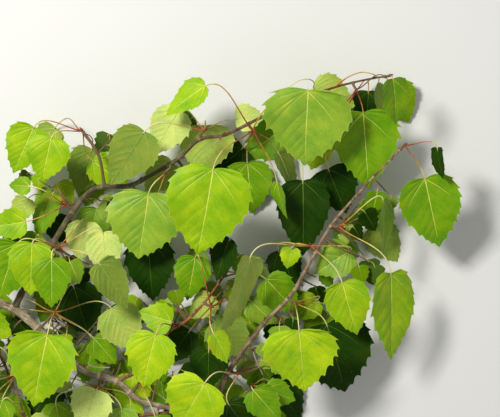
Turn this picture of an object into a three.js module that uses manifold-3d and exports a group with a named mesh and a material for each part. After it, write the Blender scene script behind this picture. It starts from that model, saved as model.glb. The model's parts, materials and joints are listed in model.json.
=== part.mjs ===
// A leafy branch cut from a poplar of the aspen kind, lying on level ground.
//
// Millimetres, +Z up. The branch is laid out in plan as it is seen from above: +X to the right,
// +Y up the picture, and the butt, where it was cut, at the far left. Five woody limbs carry
// short spurs. Each spur, with the leaves on it, is one solid of its own, 0.3 mm clear of the wood.
// At the end the whole branch is moved, so that the origin is under the middle of its box.

import * as THREE from "three";
import { mergeVertices } from "three/addons/utils/BufferGeometryUtils.js";
import Module from "manifold-3d";

const wasm = await Module();
wasm.setup();

// Driving dimensions
const GAP = 0.3; // between a spur and the limb that carries it
const LEVEL_BASE = -4; // height of a leaf's base at level 0
const LEVEL_STEP = 17; // from one level of leaves to the next
const SHIFT_STEP = 3; // a leaf that would touch another is raised or lowered by this much at a time
const SHOWN_SHIFTS = [0, 1, -1, 2, -2, 3, -3, 4, -4, 5, -5, 6, -6, 7, -7, 8];
const GROWN_SHIFTS = [0, 1, 2, 3, 4, 5, 6, 7, 8, 9, 10, 11, 12, 13, 14];
const LOWEST_BASE = 2.5;
const ARCHES = [0.12, 0.3, 0, -0.15]; // ways in which a stalk may arch, as shares of its span
const CELL = 2.5; // side of a small cube of the space that the leaves share out
const SAMPLE = 2.5; // spacing of the points that stand for a leaf or a stalk there
const ROOT = 8; // length of a stalk, from the spur's tip, that lies among its neighbours
const BLADE_THICKNESS = 0.016; // share of the blade's length, along the midrib
const THINNEST_BLADE = 0.9;
const GROUND_ROOM = 0.02; // a leaf pressed on the ground keeps this little above it
const WIDEST_AT = 0.33; // share of the length where a blade is widest
const STALK_RADIUS = 0.95;
const LIMB_SIDES = 8;
const LIMB_STEP = 12.5; // between the rings of a limb
const SEED = 4127;

const BARK = new THREE.MeshStandardMaterial({ color: 0x6e665a, roughness: 0.85, metalness: 0 });
const LEAF = new THREE.MeshStandardMaterial({ color: 0x86ac22, roughness: 0.5, metalness: 0 });

// Limbs: each is one tapering line through a few points, with its radius at both ends.
const LIMBS = {
  main_stem: {
    radius: [4.9, 1.8],
    line: [
      [-298, -96, 34], [-272, -96, 34], [-246, -98, 35], [-224, -112, 36], [-188, -147, 37],
      [-165, -165, 36], [-134, -175, 34], [-113, -193, 32], [-90, -200, 31], [-37, -206, 29],
      [-10, -202, 28], [0, -186, 29],
    ],
  },
  upper_bough: {
    from: "main_stem",
    foot: [-238, -101],
    radius: [3.3, 0.9],
    line: [
      [-226, -78, 43], [-205, -47, 50], [-177, -3, 54], [-155, 20, 57], [-120, 23, 58],
      [-96, 35, 60], [-71, 50, 61], [-50, 69, 62], [-26, 73, 63], [10, 90, 65],
      [50, 108, 66], [86, 121, 67], [126, 130, 68], [134, 131, 68],
    ],
  },
  middle_bough: {
    from: "main_stem",
    foot: [-133, -175],
    radius: [2.1, 1.1],
    line: [[-117, -166, 37], [-100, -149, 40], [-82, -124, 43], [-63, -112, 46], [-44, -92, 48], [-26, -68, 50]],
  },
  right_bough: {
    from: "main_stem",
    foot: [-34, -206],
    radius: [2.8, 0.9],
    line: [
      [-26, -173, 35], [-6, -142, 40], [15, -114, 43], [39, -90, 46], [58, -58, 48],
      [80, -19, 51], [96, 1, 53], [124, 32, 57], [150, 59, 60],
    ],
  },
  low_twig: {
    from: "main_stem",
    foot: [-78, -200],
    radius: [1.7, 1.0],
    line: [[-92, -208, 27], [-116, -211, 24], [-140, -214, 22], [-163, -216, 20]],
  },
  left_bough: {
    from: "main_stem",
    foot: [-258, -97],
    radius: [2.0, 1.0],
    line: [[-254, -122, 31], [-255, -142, 29], [-248, -160, 27], [-243, -174, 26], [-236, -190, 25], [-230, -208, 24]],
  },
};

// Ways in which a blade lies: roll about its midrib, pitch of its tip, and the fold of its halves.
const FLAT = { roll: 0, pitch: -7, fold: 0.1 };
const DIPPED = { roll: 0, pitch: -14, fold: 0.07 };
const TILTED_LEFT = { roll: 36, pitch: -8, fold: 0.12 };
const TILTED_RIGHT = { roll: -36, pitch: -8, fold: 0.12 };
const EDGE_LEFT = { roll: 66, pitch: -6, fold: 0.16 };
const EDGE_RIGHT = { roll: -66, pitch: -6, fold: 0.16 };
const TENT = { roll: 6, pitch: -10, fold: -0.3 };
const TURNED = { roll: 176, pitch: -5, fold: -0.1 };
const TURNED_TILTED = { roll: 146, pitch: -6, fold: -0.12 };
const TURNED_EDGE = { roll: 118, pitch: -5, fold: -0.14 };

// Spurs. foot is where the spur leaves its limb, tip where its leaves spring from, and via a point
// that a longer spur passes. A leaf is its level, the plan place of its base, its heading in
// degrees from +X, its length and width, and the way it lies. reach is how far the leaves that
// grow by rule may start from the tip, and grown is how many of them are wanted.
const SPURS = [
  {
    name: "foliage_crown_tip", limb: "upper_bough", foot: [134, 131], tip: [139, 132, 70], reach: 26, grown: 0,
    leaves: [
      [5, 141, 128, -81, 46, 38, TILTED_RIGHT],
      [3, 129, 126, -85, 34, 30, TURNED_EDGE],
    ],
  },
  {
    name: "foliage_crown_red", limb: "upper_bough", foot: [102, 124], tip: [105, 118, 73], reach: 42, grown: 2,
    leaves: [
      [4, 113, 96, -85, 78, 72, FLAT],
      [1, 79, 40, -68, 50, 52, FLAT],
      [2, 74, 70, -112, 34, 28, FLAT],
    ],
  },
  {
    name: "foliage_crown_mid", limb: "upper_bough", foot: [50, 108], tip: [54, 101, 71], reach: 40, grown: 3,
    leaves: [
      [6, 57, 116, -93, 78, 88, DIPPED],
      [4, 53, 28, -88, 78, 54, FLAT],
    ],
  },
  {
    name: "foliage_crown_green", limb: "upper_bough", foot: [-2, 85], tip: [3, 78, 70], reach: 44, grown: 3,
    leaves: [
      [6, -36, 39, -99, 88, 84, FLAT],
      [5, -44, 121, -146, 50, 34, TILTED_LEFT],
      [3, 64, 120, -20, 46, 42, TURNED],
      [2, 29, 56, -65, 58, 40, TURNED_EDGE],
      [3, 27, 26, -80, 38, 28, EDGE_LEFT],
    ],
  },
  {
    name: "foliage_bend", limb: "upper_bough", foot: [-48, 70], tip: [-45, 78, 67], reach: 40, grown: 3,
    leaves: [
      [5, -104, 76, -122, 64, 50, TURNED],
      [3, -72, 98, -122, 52, 42, TURNED],
      [2, -45, 84, -90, 50, 58, TURNED],
    ],
  },
  {
    name: "foliage_inner", limb: "upper_bough", foot: [-80, 44], tip: [-84, 36, 66], reach: 52, grown: 6,
    leaves: [
      [4, -101, 15, -98, 68, 78, FLAT],
      [2, -78, 46, -134, 42, 36, TURNED],
      [2, -103, -32, -88, 64, 52, FLAT],
    ],
  },
  {
    name: "foliage_red_twig", limb: "upper_bough", foot: [-146, 21], via: [-151, 54, 68], tip: [-166, 77, 74],
    reach: 46, grown: 2,
    leaves: [
      [4, -215, 81, -116, 52, 44, FLAT],
      [5, -196, 70, -103, 46, 46, FLAT],
      [2, -160, 60, -108, 48, 42, TURNED],
      [4, -158, 48, -38, 46, 34, FLAT],
    ],
  },
  {
    name: "foliage_shade", limb: "upper_bough", foot: [-176, -2], tip: [-183, 3, 59], reach: 46, grown: 5,
    leaves: [
      [4, -198, 16, -115, 50, 40, TILTED_LEFT],
      [3, -194, 26, -58, 27, 24, FLAT],
      [4, -223, -13, -170, 44, 32, FLAT],
      [3, -223, 10, -122, 27, 25, TURNED],
      [5, -217, 22, 176, 22, 19, FLAT],
    ],
  },
  {
    name: "foliage_west", limb: "upper_bough", foot: [-198, -36], tip: [-190, -38, 60], reach: 52, grown: 6,
    leaves: [
      [4, -231, -35, -112, 60, 54, FLAT],
      [5, -215, -34, -94, 54, 46, FLAT],
      [6, -194, -49, -90, 50, 40, FLAT],
      [2, -166, -14, -100, 40, 38, TURNED],
      [2, -148, -24, -85, 44, 38, TURNED],
      [5, -149, -54, -55, 54, 42, TURNED_TILTED],
    ],
  },
  {
    name: "foliage_fork", limb: "main_stem", foot: [-212, -121], tip: [-196, -104, 47], reach: 52, grown: 6,
    leaves: [
      [6, -198, -123, -103, 76, 70, FLAT],
      [3, -178, -78, -75, 54, 50, FLAT],
      [3, -139, -100, -60, 50, 46, TURNED],
    ],
  },
  {
    name: "foliage_low_stem", limb: "main_stem", foot: [-150, -169], tip: [-153, -179, 38], reach: 50, grown: 5,
    leaves: [
      [3, -154, -182, -112, 46, 44, TURNED],
      [2, -197, -197, -80, 36, 32, FLAT],
    ],
  },
  {
    name: "foliage_mid_stem", limb: "main_stem", foot: [-120, -186], tip: [-112, -176, 40], reach: 40, grown: 5,
    leaves: [
      [1, -120, -170, -95, 44, 40, FLAT],
      [2, -96, -209, -75, 38, 34, FLAT],
    ],
  },
  {
    name: "foliage_low_twig", limb: "low_twig", foot: [-163, -216], tip: [-167, -217, 20], reach: 36, grown: 2,
    leaves: [[1, -172, -214, -120, 34, 31, FLAT]],
  },
  {
    name: "foliage_centre", limb: "middle_bough", foot: [-82, -124], tip: [-77, -116, 48], reach: 46, grown: 5,
    leaves: [
      [6, -92, -123, -106, 56, 50, FLAT],
      [3, -78, -113, 165, 36, 32, FLAT],
    ],
  },
  {
    name: "foliage_centre_red", limb: "middle_bough", foot: [-46, -94], tip: [-39, -98, 53], reach: 44, grown: 5,
    leaves: [
      [4, -41, -141, -92, 42, 40, TENT],
      [4, -36, -123, -62, 34, 27, TILTED_RIGHT],
      [2, -37, -90, -140, 34, 28, TURNED],
      [3, -55, -49, -100, 46, 38, FLAT],
    ],
  },
  {
    name: "foliage_centre_tip", limb: "middle_bough", foot: [-26, -68], tip: [-23, -63, 52], reach: 40, grown: 4,
    leaves: [
      [4, -20, -30, -112, 46, 36, TILTED_LEFT],
      [3, -8, -46, -100, 24, 21, FLAT],
    ],
  },
  {
    name: "foliage_heel", limb: "right_bough", foot: [-20, -163], tip: [-12, -166, 43], reach: 38, grown: 3,
    leaves: [[6, -44, -170, -120, 58, 62, DIPPED]],
  },
  {
    name: "foliage_rise", limb: "right_bough", foot: [39, -90], tip: [45, -94, 51], reach: 46, grown: 3,
    leaves: [
      [6, 48, -119, -85, 66, 76, DIPPED],
      [3, 77, -116, -74, 74, 80, FLAT],
    ],
  },
  {
    name: "foliage_rise_mid", limb: "right_bough", foot: [67, -42], tip: [61, -37, 54], reach: 40, grown: 3,
    leaves: [
      [5, 0, -48, -106, 84, 52, TURNED_EDGE],
      [5, 91, -73, -75, 56, 46, FLAT],
      [2, 42, -39, -100, 23, 21, FLAT],
    ],
  },
  {
    name: "foliage_rise_high", limb: "right_bough", foot: [82, -16], tip: [89, -18, 56], reach: 40, grown: 2,
    leaves: [
      [5, 139, -64, -87, 90, 58, TILTED_RIGHT],
      [4, 133, 8, -86, 58, 40, EDGE_RIGHT],
    ],
  },
  {
    name: "foliage_right_tip", limb: "right_bough", foot: [150, 59], tip: [154, 63, 62], reach: 24, grown: 0,
    leaves: [
      [4, 174, 30, -77, 72, 62, FLAT],
      [5, 185, 60, -84, 32, 28, EDGE_LEFT],
    ],
  },
  {
    name: "foliage_foot_tip", limb: "main_stem", foot: [0, -186], tip: [2, -179, 32], reach: 36, grown: 3,
    leaves: [
      [3, 3, -182, -50, 44, 36, FLAT],
      [1, -5, -188, -150, 28, 26, FLAT],
      [2, 16, -182, -25, 34, 30, FLAT],
    ],
  },
  {
    name: "foliage_west_low", limb: "left_bough", foot: [-244, -172], tip: [-237, -168, 31], reach: 40, grown: 5,
    leaves: [
      [4, -255, -138, -160, 44, 38, FLAT],
      [3, -266, -112, -30, 32, 30, FLAT],
    ],
  },
  {
    name: "foliage_west_tip", limb: "left_bough", foot: [-230, -208], tip: [-228, -213, 25], reach: 34, grown: 4,
    leaves: [
      [3, -248, -192, -112, 36, 32, FLAT],
      [2, -222, -212, -50, 34, 30, TURNED],
    ],
  },
];

// Leaves that grow by rule
const GROWN_LENGTH = [32, 54];
const GROWN_WIDTH = [0.84, 0.96]; // shares of the length
const GROWN_HEADING = -94; // most leaves hang down the picture
const GROWN_SWING = 110;
const GROWN_BEARING = [-195, 15]; // of a leaf's base from the spur's tip: beside it or below
const NEAREST_START = 16; // from the spur's tip
const TURNED_SHARE = 0.3; // of these leaves show their underside
const OPEN_SHARE = 0.17; // of a new leaf must lie where nothing covers it yet
const LOWEST_START = 4;
const TRIES_EACH = 25;
const FIELD = { low: [-332, -258, -20], high: [248, 162, 200] };

// The random numbers of the seeded rule: a plain multiplicative generator
let state = SEED;
const reseed = (number) => (state = SEED + 7919 * number);
function random() {
  state = (state * 16807) % 2147483647;
  return state / 2147483647;
}
const between = ([low, high]) => low + (high - low) * random();
const radians = (degrees) => (degrees * Math.PI) / 180;
const vec = (x, y, z) => new THREE.Vector3(x, y, z);

// The space that the solids share out, in small cubes. A cube holds 0 where it is free, BUSY where
// two masses border, or else a mass's number times two, plus one for a blade.
const BUSY = 1;
const cubes = FIELD.low.map((low, i) => Math.ceil((FIELD.high[i] - low) / CELL));
const space = new Uint8Array(cubes[0] * cubes[1] * cubes[2]);

function cubeOf(p) {
  const [i, j, k] = [p.x, p.y, p.z].map((value, axis) => Math.floor((value - FIELD.low[axis]) / CELL));
  const inside = i > 3 && j > 3 && k > 3 && i < cubes[0] - 4 && j < cubes[1] - 4 && k < cubes[2] - 4;
  return inside ? (i * cubes[1] + j) * cubes[2] + k : -1;
}

// Marks the cubes within reach cubes of each point.
function take(points, mass, blade, reach) {
  const code = 2 * mass + (blade ? 1 : 0);
  const found = new Set();
  for (const p of points) {
    const at = cubeOf(p);
    if (at < 0) continue;
    for (let i = -reach; i <= reach; i++)
      for (let j = -reach; j <= reach; j++)
        for (let k = -reach; k <= reach; k++) found.add(at + (i * cubes[1] + j) * cubes[2] + k);
  }
  for (const cube of found) {
    const old = space[cube];
    const same = old === 0 || old >> 1 === mass;
    space[cube] = same ? Math.max(old, code) : BUSY;
  }
}

// A blade keeps clear of everything but its own root, and a stalk of all but its own mass's stalks.
function isFree(points, mass) {
  return points.every((p) => {
    const cube = cubeOf(p);
    if (cube < 0) return false;
    const old = space[cube];
    if (old === 0 || p.root) return true;
    return old === 2 * mass && !p.blade;
  });
}

function openShare(points) {
  const open = points.filter((p) => {
    const cube = cubeOf(p);
    const floor = cube - (cube % cubes[2]);
    for (let k = 0; k < cubes[2]; k++) if (space[floor + k] & 1) return false;
    return true;
  });
  return open.length / points.length;
}

// A closed tube of changing radius along a curve, with flat ends
function tubeAlong(curve, steps, radiusAt, sides) {
  const frames = curve.computeFrenetFrames(steps, false);
  const position = [];
  const index = [];
  for (let i = 0; i <= steps; i++) {
    const centre = curve.getPointAt(i / steps);
    const radius = radiusAt(i / steps);
    for (let k = 0; k < sides; k++) {
      const angle = (2 * Math.PI * k) / sides;
      const rim = frames.normals[i].clone().multiplyScalar(radius * Math.cos(angle));
      rim.addScaledVector(frames.binormals[i], radius * Math.sin(angle)).add(centre);
      position.push(rim.x, rim.y, rim.z);
    }
  }
  for (let i = 0; i < steps; i++)
    for (let k = 0; k < sides; k++) {
      const a = i * sides + k;
      const b = i * sides + ((k + 1) % sides);
      index.push(a, b, b + sides, a, b + sides, a + sides);
    }
  const last = steps * sides;
  for (let k = 1; k < sides - 1; k++) index.push(0, k + 1, k, last, last + k, last + k + 1);
  return solidOf(position, index);
}

function solidOf(position, index) {
  const mesh = () =>
    new wasm.Mesh({ numProp: 3, vertProperties: new Float32Array(position), triVerts: new Uint32Array(index) });
  const solid = new wasm.Manifold(mesh());
  if (solid.volume() > 0) return solid;
  for (let i = 0; i < index.length; i += 3) [index[i], index[i + 1]] = [index[i + 1], index[i]];
  return new wasm.Manifold(mesh());
}

// Half the width of a blade, as a share of its widest, at a share t of its length
function halfWidth(t) {
  if (t <= 0 || t >= 1) return 0;
  if (t < WIDEST_AT) return (1 - (1 - t / WIDEST_AT) ** 2.4) ** 0.25;
  return (1 - ((t - WIDEST_AT) / (1 - WIDEST_AT)) ** 1.9) ** 0.85;
}

// A blade as a surface: place(t, s) gives the point at a share t of the length from the base and a
// share s of the half width, from -1 at the right edge to 1 at the left one.
function bladeSurface(leaf, lift) {
  const heading = radians(leaf.heading);
  const pitch = radians(leaf.lie.pitch);
  const roll = radians(leaf.lie.roll);
  const along = vec(Math.cos(heading) * Math.cos(pitch), Math.sin(heading) * Math.cos(pitch), Math.sin(pitch));
  const level = vec(-Math.sin(heading), Math.cos(heading), 0);
  const up = vec(0, 0, 0).crossVectors(along, level);
  const across = level.clone().multiplyScalar(Math.cos(roll)).addScaledVector(up, Math.sin(roll));
  const normal = vec(0, 0, 0).crossVectors(along, across);
  const base = vec(leaf.x, leaf.y, leaf.z + lift);
  const facing = Math.cos(roll) < 0 ? -1 : 1;
  const place = (t, s) => {
    const side = s * halfWidth(t) * (leaf.width / 2);
    const droop = -0.1 * facing * leaf.length * t * t;
    const ruffle = 0.035 * leaf.width * Math.sin(leaf.phase + 7 * t + 1.3 * Math.sign(s)) * s * s;
    const rise = droop + leaf.lie.fold * Math.abs(side) + ruffle;
    const p = base.clone().addScaledVector(along, t * leaf.length).addScaledVector(across, side);
    p.addScaledVector(normal, rise);
    return p;
  };
  return { base, along, normal, place };
}

const onGround = (p, floor = GROUND_ROOM) => (p.z < floor ? p.setZ(floor) : p);

// The stalk from the spur's tip to the blade's base. It springs towards the base, arches, and
// comes in along the midrib, a little way into the blade.
function stalkCurve(tip, surface, arch) {
  const way = surface.base.clone().sub(tip);
  const span = Math.max(way.length(), 6);
  const rise = vec(0, 0, arch * span);
  const out = tip.clone().addScaledVector(way, 0.35).add(rise);
  const into = surface.base.clone().addScaledVector(surface.along, -0.4 * span).add(rise);
  const end = surface.base.clone().addScaledVector(surface.along, 3.5);
  const lowest = STALK_RADIUS + GROUND_ROOM;
  return new THREE.CubicBezierCurve3(tip, onGround(out, lowest), onGround(into, lowest), onGround(end, lowest));
}

function bladeSamples(leaf, surface) {
  const points = [];
  const rows = Math.ceil(leaf.length / SAMPLE);
  for (let i = 0; i <= rows; i++) {
    const t = i / rows;
    const columns = Math.ceil((halfWidth(t) * leaf.width) / SAMPLE);
    for (let k = 0; k <= columns; k++) {
      const p = surface.place(t, columns ? 1.06 * ((2 * k) / columns - 1) : 0);
      points.push({ x: p.x, y: p.y, z: Math.max(p.z, GROUND_ROOM), blade: true, root: t * leaf.length < 5 });
    }
  }
  return points;
}

function stalkSamples(curve) {
  const count = Math.ceil(curve.getLength() / SAMPLE);
  return Array.from({ length: count + 1 }, (_, i) => {
    const { x, y, z } = curve.getPoint(i / count);
    return { x, y, z, root: i * SAMPLE < ROOT };
  });
}

// A leaf's solid: two skins that meet in the toothed outline and stand apart along the midrib
function bladeSolid(leaf, surface) {
  const thick = Math.max(THINNEST_BLADE, BLADE_THICKNESS * leaf.length);
  const teeth = leaf.teeth;
  const count = 2 * teeth + 1;
  const position = [];
  const add = (p, floor) => {
    onGround(p, floor);
    return position.push(p.x, p.y, p.z) / 3 - 1;
  };
  const ribShares = teeth > 4 ? [0.16, 0.42, 0.7] : [0.25, 0.62];
  const base = add(surface.place(0, 0));
  const end = add(surface.place(1, 0));
  const rib = (offset) =>
    ribShares.map((t) =>
      add(surface.place(t, 0).addScaledVector(surface.normal, offset), GROUND_ROOM + thick / 2 + Math.sign(surface.normal.z) * offset),
    );
  const upper = rib(thick / 2);
  const under = rib(-thick / 2);
  const index = [];
  for (const side of [1, -1]) {
    const rim = [];
    for (let j = 1; j < count; j++) {
      const peak = j % 2 === 0;
      const t = Math.min(0.985, (j / count) ** 1.45 + (peak ? 0.02 : 0));
      rim.push({ t, at: add(surface.place(t, side * (peak ? 1.06 : 0.95))) });
    }
    for (const [skin, flip] of [[upper, 1], [under, -1]]) {
      const ribs = [{ t: 0, at: base }, ...skin.map((at, i) => ({ t: ribShares[i], at })), { t: 1, at: end }];
      const edge = [{ t: 0, at: base }, ...rim, { t: 1, at: end }];
      let i = 0;
      let j = 0;
      while (i < ribs.length - 1 || j < edge.length - 1) {
        const onRib = j === edge.length - 1 || (i < ribs.length - 1 && ribs[i + 1].t < edge[j + 1].t);
        const corner = onRib ? [ribs[i].at, ribs[i + 1].at, edge[j].at] : [ribs[i].at, edge[j + 1].at, edge[j].at];
        if (onRib) i++;
        else j++;
        if (new Set(corner).size === 3) index.push(...(side * flip > 0 ? corner : [corner[0], corner[2], corner[1]]));
      }
    }
  }
  return solidOf(position, index);
}

// Tries a leaf at its height, then at others, until nothing is in its way.
function settle(leaf, tip, mass, shifts) {
  for (const shift of shifts) {
    const lift = shift * SHIFT_STEP;
    if (leaf.z + lift < LOWEST_BASE && shift !== 0) continue;
    const surface = bladeSurface(leaf, lift);
    const blade = bladeSamples(leaf, surface);
    if (!isFree(blade, mass)) continue;
    for (const arch of ARCHES) {
      const curve = stalkCurve(tip, surface, arch);
      const stalk = stalkSamples(curve);
      if (!isFree(stalk, mass)) continue;
      take(blade, mass, true, 1);
      take(stalk, mass, false, 1);
      const stem = tubeAlong(curve, leaf.teeth > 4 ? 4 : 3, () => STALK_RADIUS, 3);
      return bladeSolid(leaf, surface).add(stem);
    }
  }
  return null;
}

// Limbs
const limbs = {};
const LIMB_MASS = 1;
for (const [name, limb] of Object.entries(LIMBS)) {
  const line = limb.line.map((p) => vec(...p));
  if (limb.from) {
    const { centre, tangent, radius } = nearest(limbs[limb.from], limb.foot);
    const out = awayFrom(centre, tangent, line[0]);
    line.unshift(centre.clone().addScaledVector(out, radius + GAP));
    line.splice(1, 0, centre.clone().addScaledVector(out, radius + GAP + limb.radius[0]));
  }
  const spline = new THREE.CatmullRomCurve3(line);
  const steps = Math.round(spline.getLength() / LIMB_STEP);
  const curve = chords(spline, steps);
  const radiusAt = (t) => limb.radius[0] + (limb.radius[1] - limb.radius[0]) * t;
  limbs[name] = { curve, radiusAt, solid: tubeAlong(spline, steps, radiusAt, LIMB_SIDES) };
  const count = Math.ceil(curve.getLength() / SAMPLE);
  for (let i = 0; i <= count; i++)
    take([curve.getPoint(i / count)], LIMB_MASS, false, Math.ceil((radiusAt(i / count) + 1) / CELL));
}

// The straight stretches between the rings of a limb
function chords(spline, steps) {
  const path = new THREE.CurvePath();
  const rings = spline.getSpacedPoints(steps);
  for (let i = 0; i < steps; i++) path.add(new THREE.LineCurve3(rings[i], rings[i + 1]));
  return path;
}

// The point of a limb nearest a plan place, with the limb's direction and radius there
function nearest(limb, [x, y]) {
  const count = 400;
  let best = 0;
  let least = Infinity;
  for (let i = 0; i <= count; i++) {
    const p = limb.curve.getPoint(i / count);
    const away = (p.x - x) ** 2 + (p.y - y) ** 2;
    if (away < least) [least, best] = [away, i / count];
  }
  const centre = limb.curve.getPoint(best);
  return { share: best, centre, tangent: limb.curve.getTangent(best), radius: limb.radiusAt(best) };
}

// The direction from a point of a limb towards a target, square to the limb
function awayFrom(centre, tangent, target) {
  const way = target.clone().sub(centre);
  return way.addScaledVector(tangent, -way.dot(tangent)).normalize();
}

// Spurs. They all take their room before any leaf does.
SPURS.forEach((spur, number) => {
  spur.mass = LIMB_MASS + 1 + number;
  const { share, centre, tangent, radius } = nearest(limbs[spur.limb], spur.foot);
  const tip = vec(...spur.tip);
  const target = spur.via ? vec(...spur.via) : tip;
  const atEnd = share > 0.995;
  const out = atEnd ? tangent : awayFrom(centre, tangent, target);
  const start = centre.clone().addScaledVector(out, (atEnd ? 0 : radius) + GAP);
  const line = [start, start.clone().addScaledVector(out, 2.5), ...(spur.via ? [target] : []), tip];
  const thick = spur.via ? 1.5 : 1.3;
  spur.tipPoint = tip;
  const curve = new THREE.CatmullRomCurve3(line);
  const steps = spur.via ? 8 : 3;
  spur.parts = [tubeAlong(curve, steps, (t) => thick + 0.25 * Math.cos(9 * t) * (1 - t), 6)];
  const count = Math.ceil(curve.getLength() / SAMPLE);
  take(Array.from({ length: count + 1 }, (_, i) => curve.getPointAt(i / count)), spur.mass, false, 1);
});

// The leaves that the layout gives, from the highest level down
const shown = SPURS.flatMap((spur) =>
  spur.leaves.map(([level, x, y, heading, length, width, lie], i) => ({
    spur, level, x, y, z: LEVEL_BASE + LEVEL_STEP * level, heading, length, width, lie,
    phase: 1.7 * i + 0.013 * x, teeth: length > 55 ? 6 : 4,
  })),
).sort((a, b) => b.level - a.level);
for (const leaf of shown) {
  const made = settle(leaf, leaf.spur.tipPoint, leaf.spur.mass, SHOWN_SHIFTS);
  if (made) leaf.spur.parts.push(made);
}

// The leaves that grow by rule: each spur sends more out, low down, where the ground still shows.
for (const spur of SPURS) {
  reseed(spur.mass);
  for (let i = 0, more = spur.grown; more > 0 && i < TRIES_EACH * spur.grown; i++) {
    const bearing = radians(between(GROWN_BEARING));
    const distance = between([NEAREST_START, spur.reach]);
    const length = between(GROWN_LENGTH);
    const leaf = {
      x: spur.tipPoint.x + distance * Math.cos(bearing),
      y: spur.tipPoint.y + distance * Math.sin(bearing),
      z: LOWEST_START,
      heading: GROWN_HEADING + GROWN_SWING * (random() - 0.5),
      length,
      width: length * between(GROWN_WIDTH),
      lie: random() < TURNED_SHARE ? TURNED : FLAT,
      phase: 6 * random(),
      teeth: 4,
    };
    const points = bladeSamples(leaf, bladeSurface(leaf, 0));
    if (points.some((p) => cubeOf(p) < 0) || openShare(points) < OPEN_SHARE) continue;
    const made = settle(leaf, spur.tipPoint, spur.mass, GROWN_SHIFTS);
    if (!made) continue;
    spur.parts.push(made);
    more--;
  }
}

// The group: one mesh for each limb and each spur
function meshOf(name, solid, material) {
  const { vertProperties, triVerts } = solid.getMesh();
  const geometry = new THREE.BufferGeometry();
  geometry.setAttribute("position", new THREE.BufferAttribute(Float32Array.from(vertProperties), 3));
  geometry.setIndex(new THREE.BufferAttribute(Uint32Array.from(triVerts), 1));
  const merged = mergeVertices(geometry, 1e-3);
  merged.computeVertexNormals();
  const mesh = new THREE.Mesh(merged, material);
  mesh.name = name;
  return mesh;
}

const branch = new THREE.Group();
for (const [name, limb] of Object.entries(limbs)) branch.add(meshOf(name, limb.solid, BARK));
for (const spur of SPURS) {
  const fused = spur.parts.reduce((whole, part) => whole.add(part));
  const outer = fused.decompose().sort((a, b) => b.volume() - a.volume())[0];
  branch.add(meshOf(spur.name, outer, LEAF));
}
const box = new THREE.Box3().setFromObject(branch, true);
const middle = box.getCenter(vec(0, 0, 0));
branch.position.set(-middle.x, -middle.y, -box.min.z);

export default branch;
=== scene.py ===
# %% [markdown]
# # A leafy poplar branch
#
# This lesson dresses a cut aspen branch that lies on a pale floor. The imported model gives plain
# solids: six limbs, and 24 masses, each a spur with its leaf stalks and its leaves. Everything
# here is built round them, in metres, in the same frame, with +Z up and the camera straight above.
#
# The leaves of a real branch are thin, toothed and veined, and far too many to place by hand, so
# they grow by a rule. The same rule made the solids, and it is written again here in Python.

# %% Load the frame
import json
import math

import bpy
import numpy as np
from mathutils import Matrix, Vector

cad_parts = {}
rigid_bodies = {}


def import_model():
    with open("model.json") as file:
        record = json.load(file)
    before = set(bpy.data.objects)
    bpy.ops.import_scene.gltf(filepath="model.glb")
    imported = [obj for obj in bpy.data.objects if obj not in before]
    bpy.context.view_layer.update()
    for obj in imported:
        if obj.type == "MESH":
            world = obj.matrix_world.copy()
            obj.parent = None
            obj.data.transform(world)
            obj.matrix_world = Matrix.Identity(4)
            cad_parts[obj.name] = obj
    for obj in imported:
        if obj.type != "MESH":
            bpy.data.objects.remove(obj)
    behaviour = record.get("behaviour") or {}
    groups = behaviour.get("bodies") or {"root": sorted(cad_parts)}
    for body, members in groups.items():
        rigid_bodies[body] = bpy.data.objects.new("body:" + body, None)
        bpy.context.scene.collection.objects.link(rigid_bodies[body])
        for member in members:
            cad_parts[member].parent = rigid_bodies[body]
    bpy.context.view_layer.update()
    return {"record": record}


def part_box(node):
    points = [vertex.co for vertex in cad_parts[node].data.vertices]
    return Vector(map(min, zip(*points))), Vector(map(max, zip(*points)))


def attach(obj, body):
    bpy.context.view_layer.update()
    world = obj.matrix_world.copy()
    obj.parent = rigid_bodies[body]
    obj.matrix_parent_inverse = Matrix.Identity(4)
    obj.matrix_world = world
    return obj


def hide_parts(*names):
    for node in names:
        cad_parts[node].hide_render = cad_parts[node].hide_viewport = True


bpy.ops.object.select_all(action="SELECT")
bpy.ops.object.delete()
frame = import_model()
MM = 0.001

# %% [markdown]
# ## Where the layout lies in the frame
#
# The branch was laid out in plan, in millimetres, with zero at the middle of the picture, and then
# moved so that the origin is under the middle of its box. The middle of the cut face at its butt
# is known in both: the layout gives it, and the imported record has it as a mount. Their difference
# is the move, so nothing has to be fitted by eye.

# %% The move from the layout to the frame
BUTT_IN_LAYOUT = np.array([-298.0, -96.0, 34.0])
cut_end = next(m for m in frame["record"]["mounts"] if m["name"] == "cut_end")
MOVE = np.array(cut_end["pos_m"]) / MM - BUTT_IN_LAYOUT
print("the layout's zero lies at", MOVE.round(3), "mm in the frame")


def to_frame(points):
    """Layout millimetres to frame metres."""
    return (np.asarray(points) + MOVE) * MM


# %% [markdown]
# ## Camera, floor and light
#
# The view is straight down from 2 m, with the top of the picture towards +Y. A long lens at that
# distance keeps near and far leaves at nearly the same scale. The floor is a plain pale sheet.
# One large soft light high on the left gives each leaf a bright side and a soft shadow, a weaker
# one fills from the right, and the world adds an even glow. The Standard view transform keeps the
# strong yellow-greens of sunlit leaves, which the default one greys.

# %% Camera
CAMERA_HEIGHT = 2.0
LENS = 140.04
scene = bpy.context.scene
bpy.ops.object.select_all(action="DESELECT")
bpy.ops.object.camera_add(location=(*MOVE[:2] * MM, CAMERA_HEIGHT), rotation=(0, 0, 0))
camera = bpy.context.object
camera.name = "camera"
camera.data.sensor_width = 36
camera.data.lens = LENS
camera.data.clip_end = 20
scene.camera = camera
scene.view_settings.view_transform = "Standard"
print("camera at", [round(v, 4) for v in camera.location])

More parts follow.
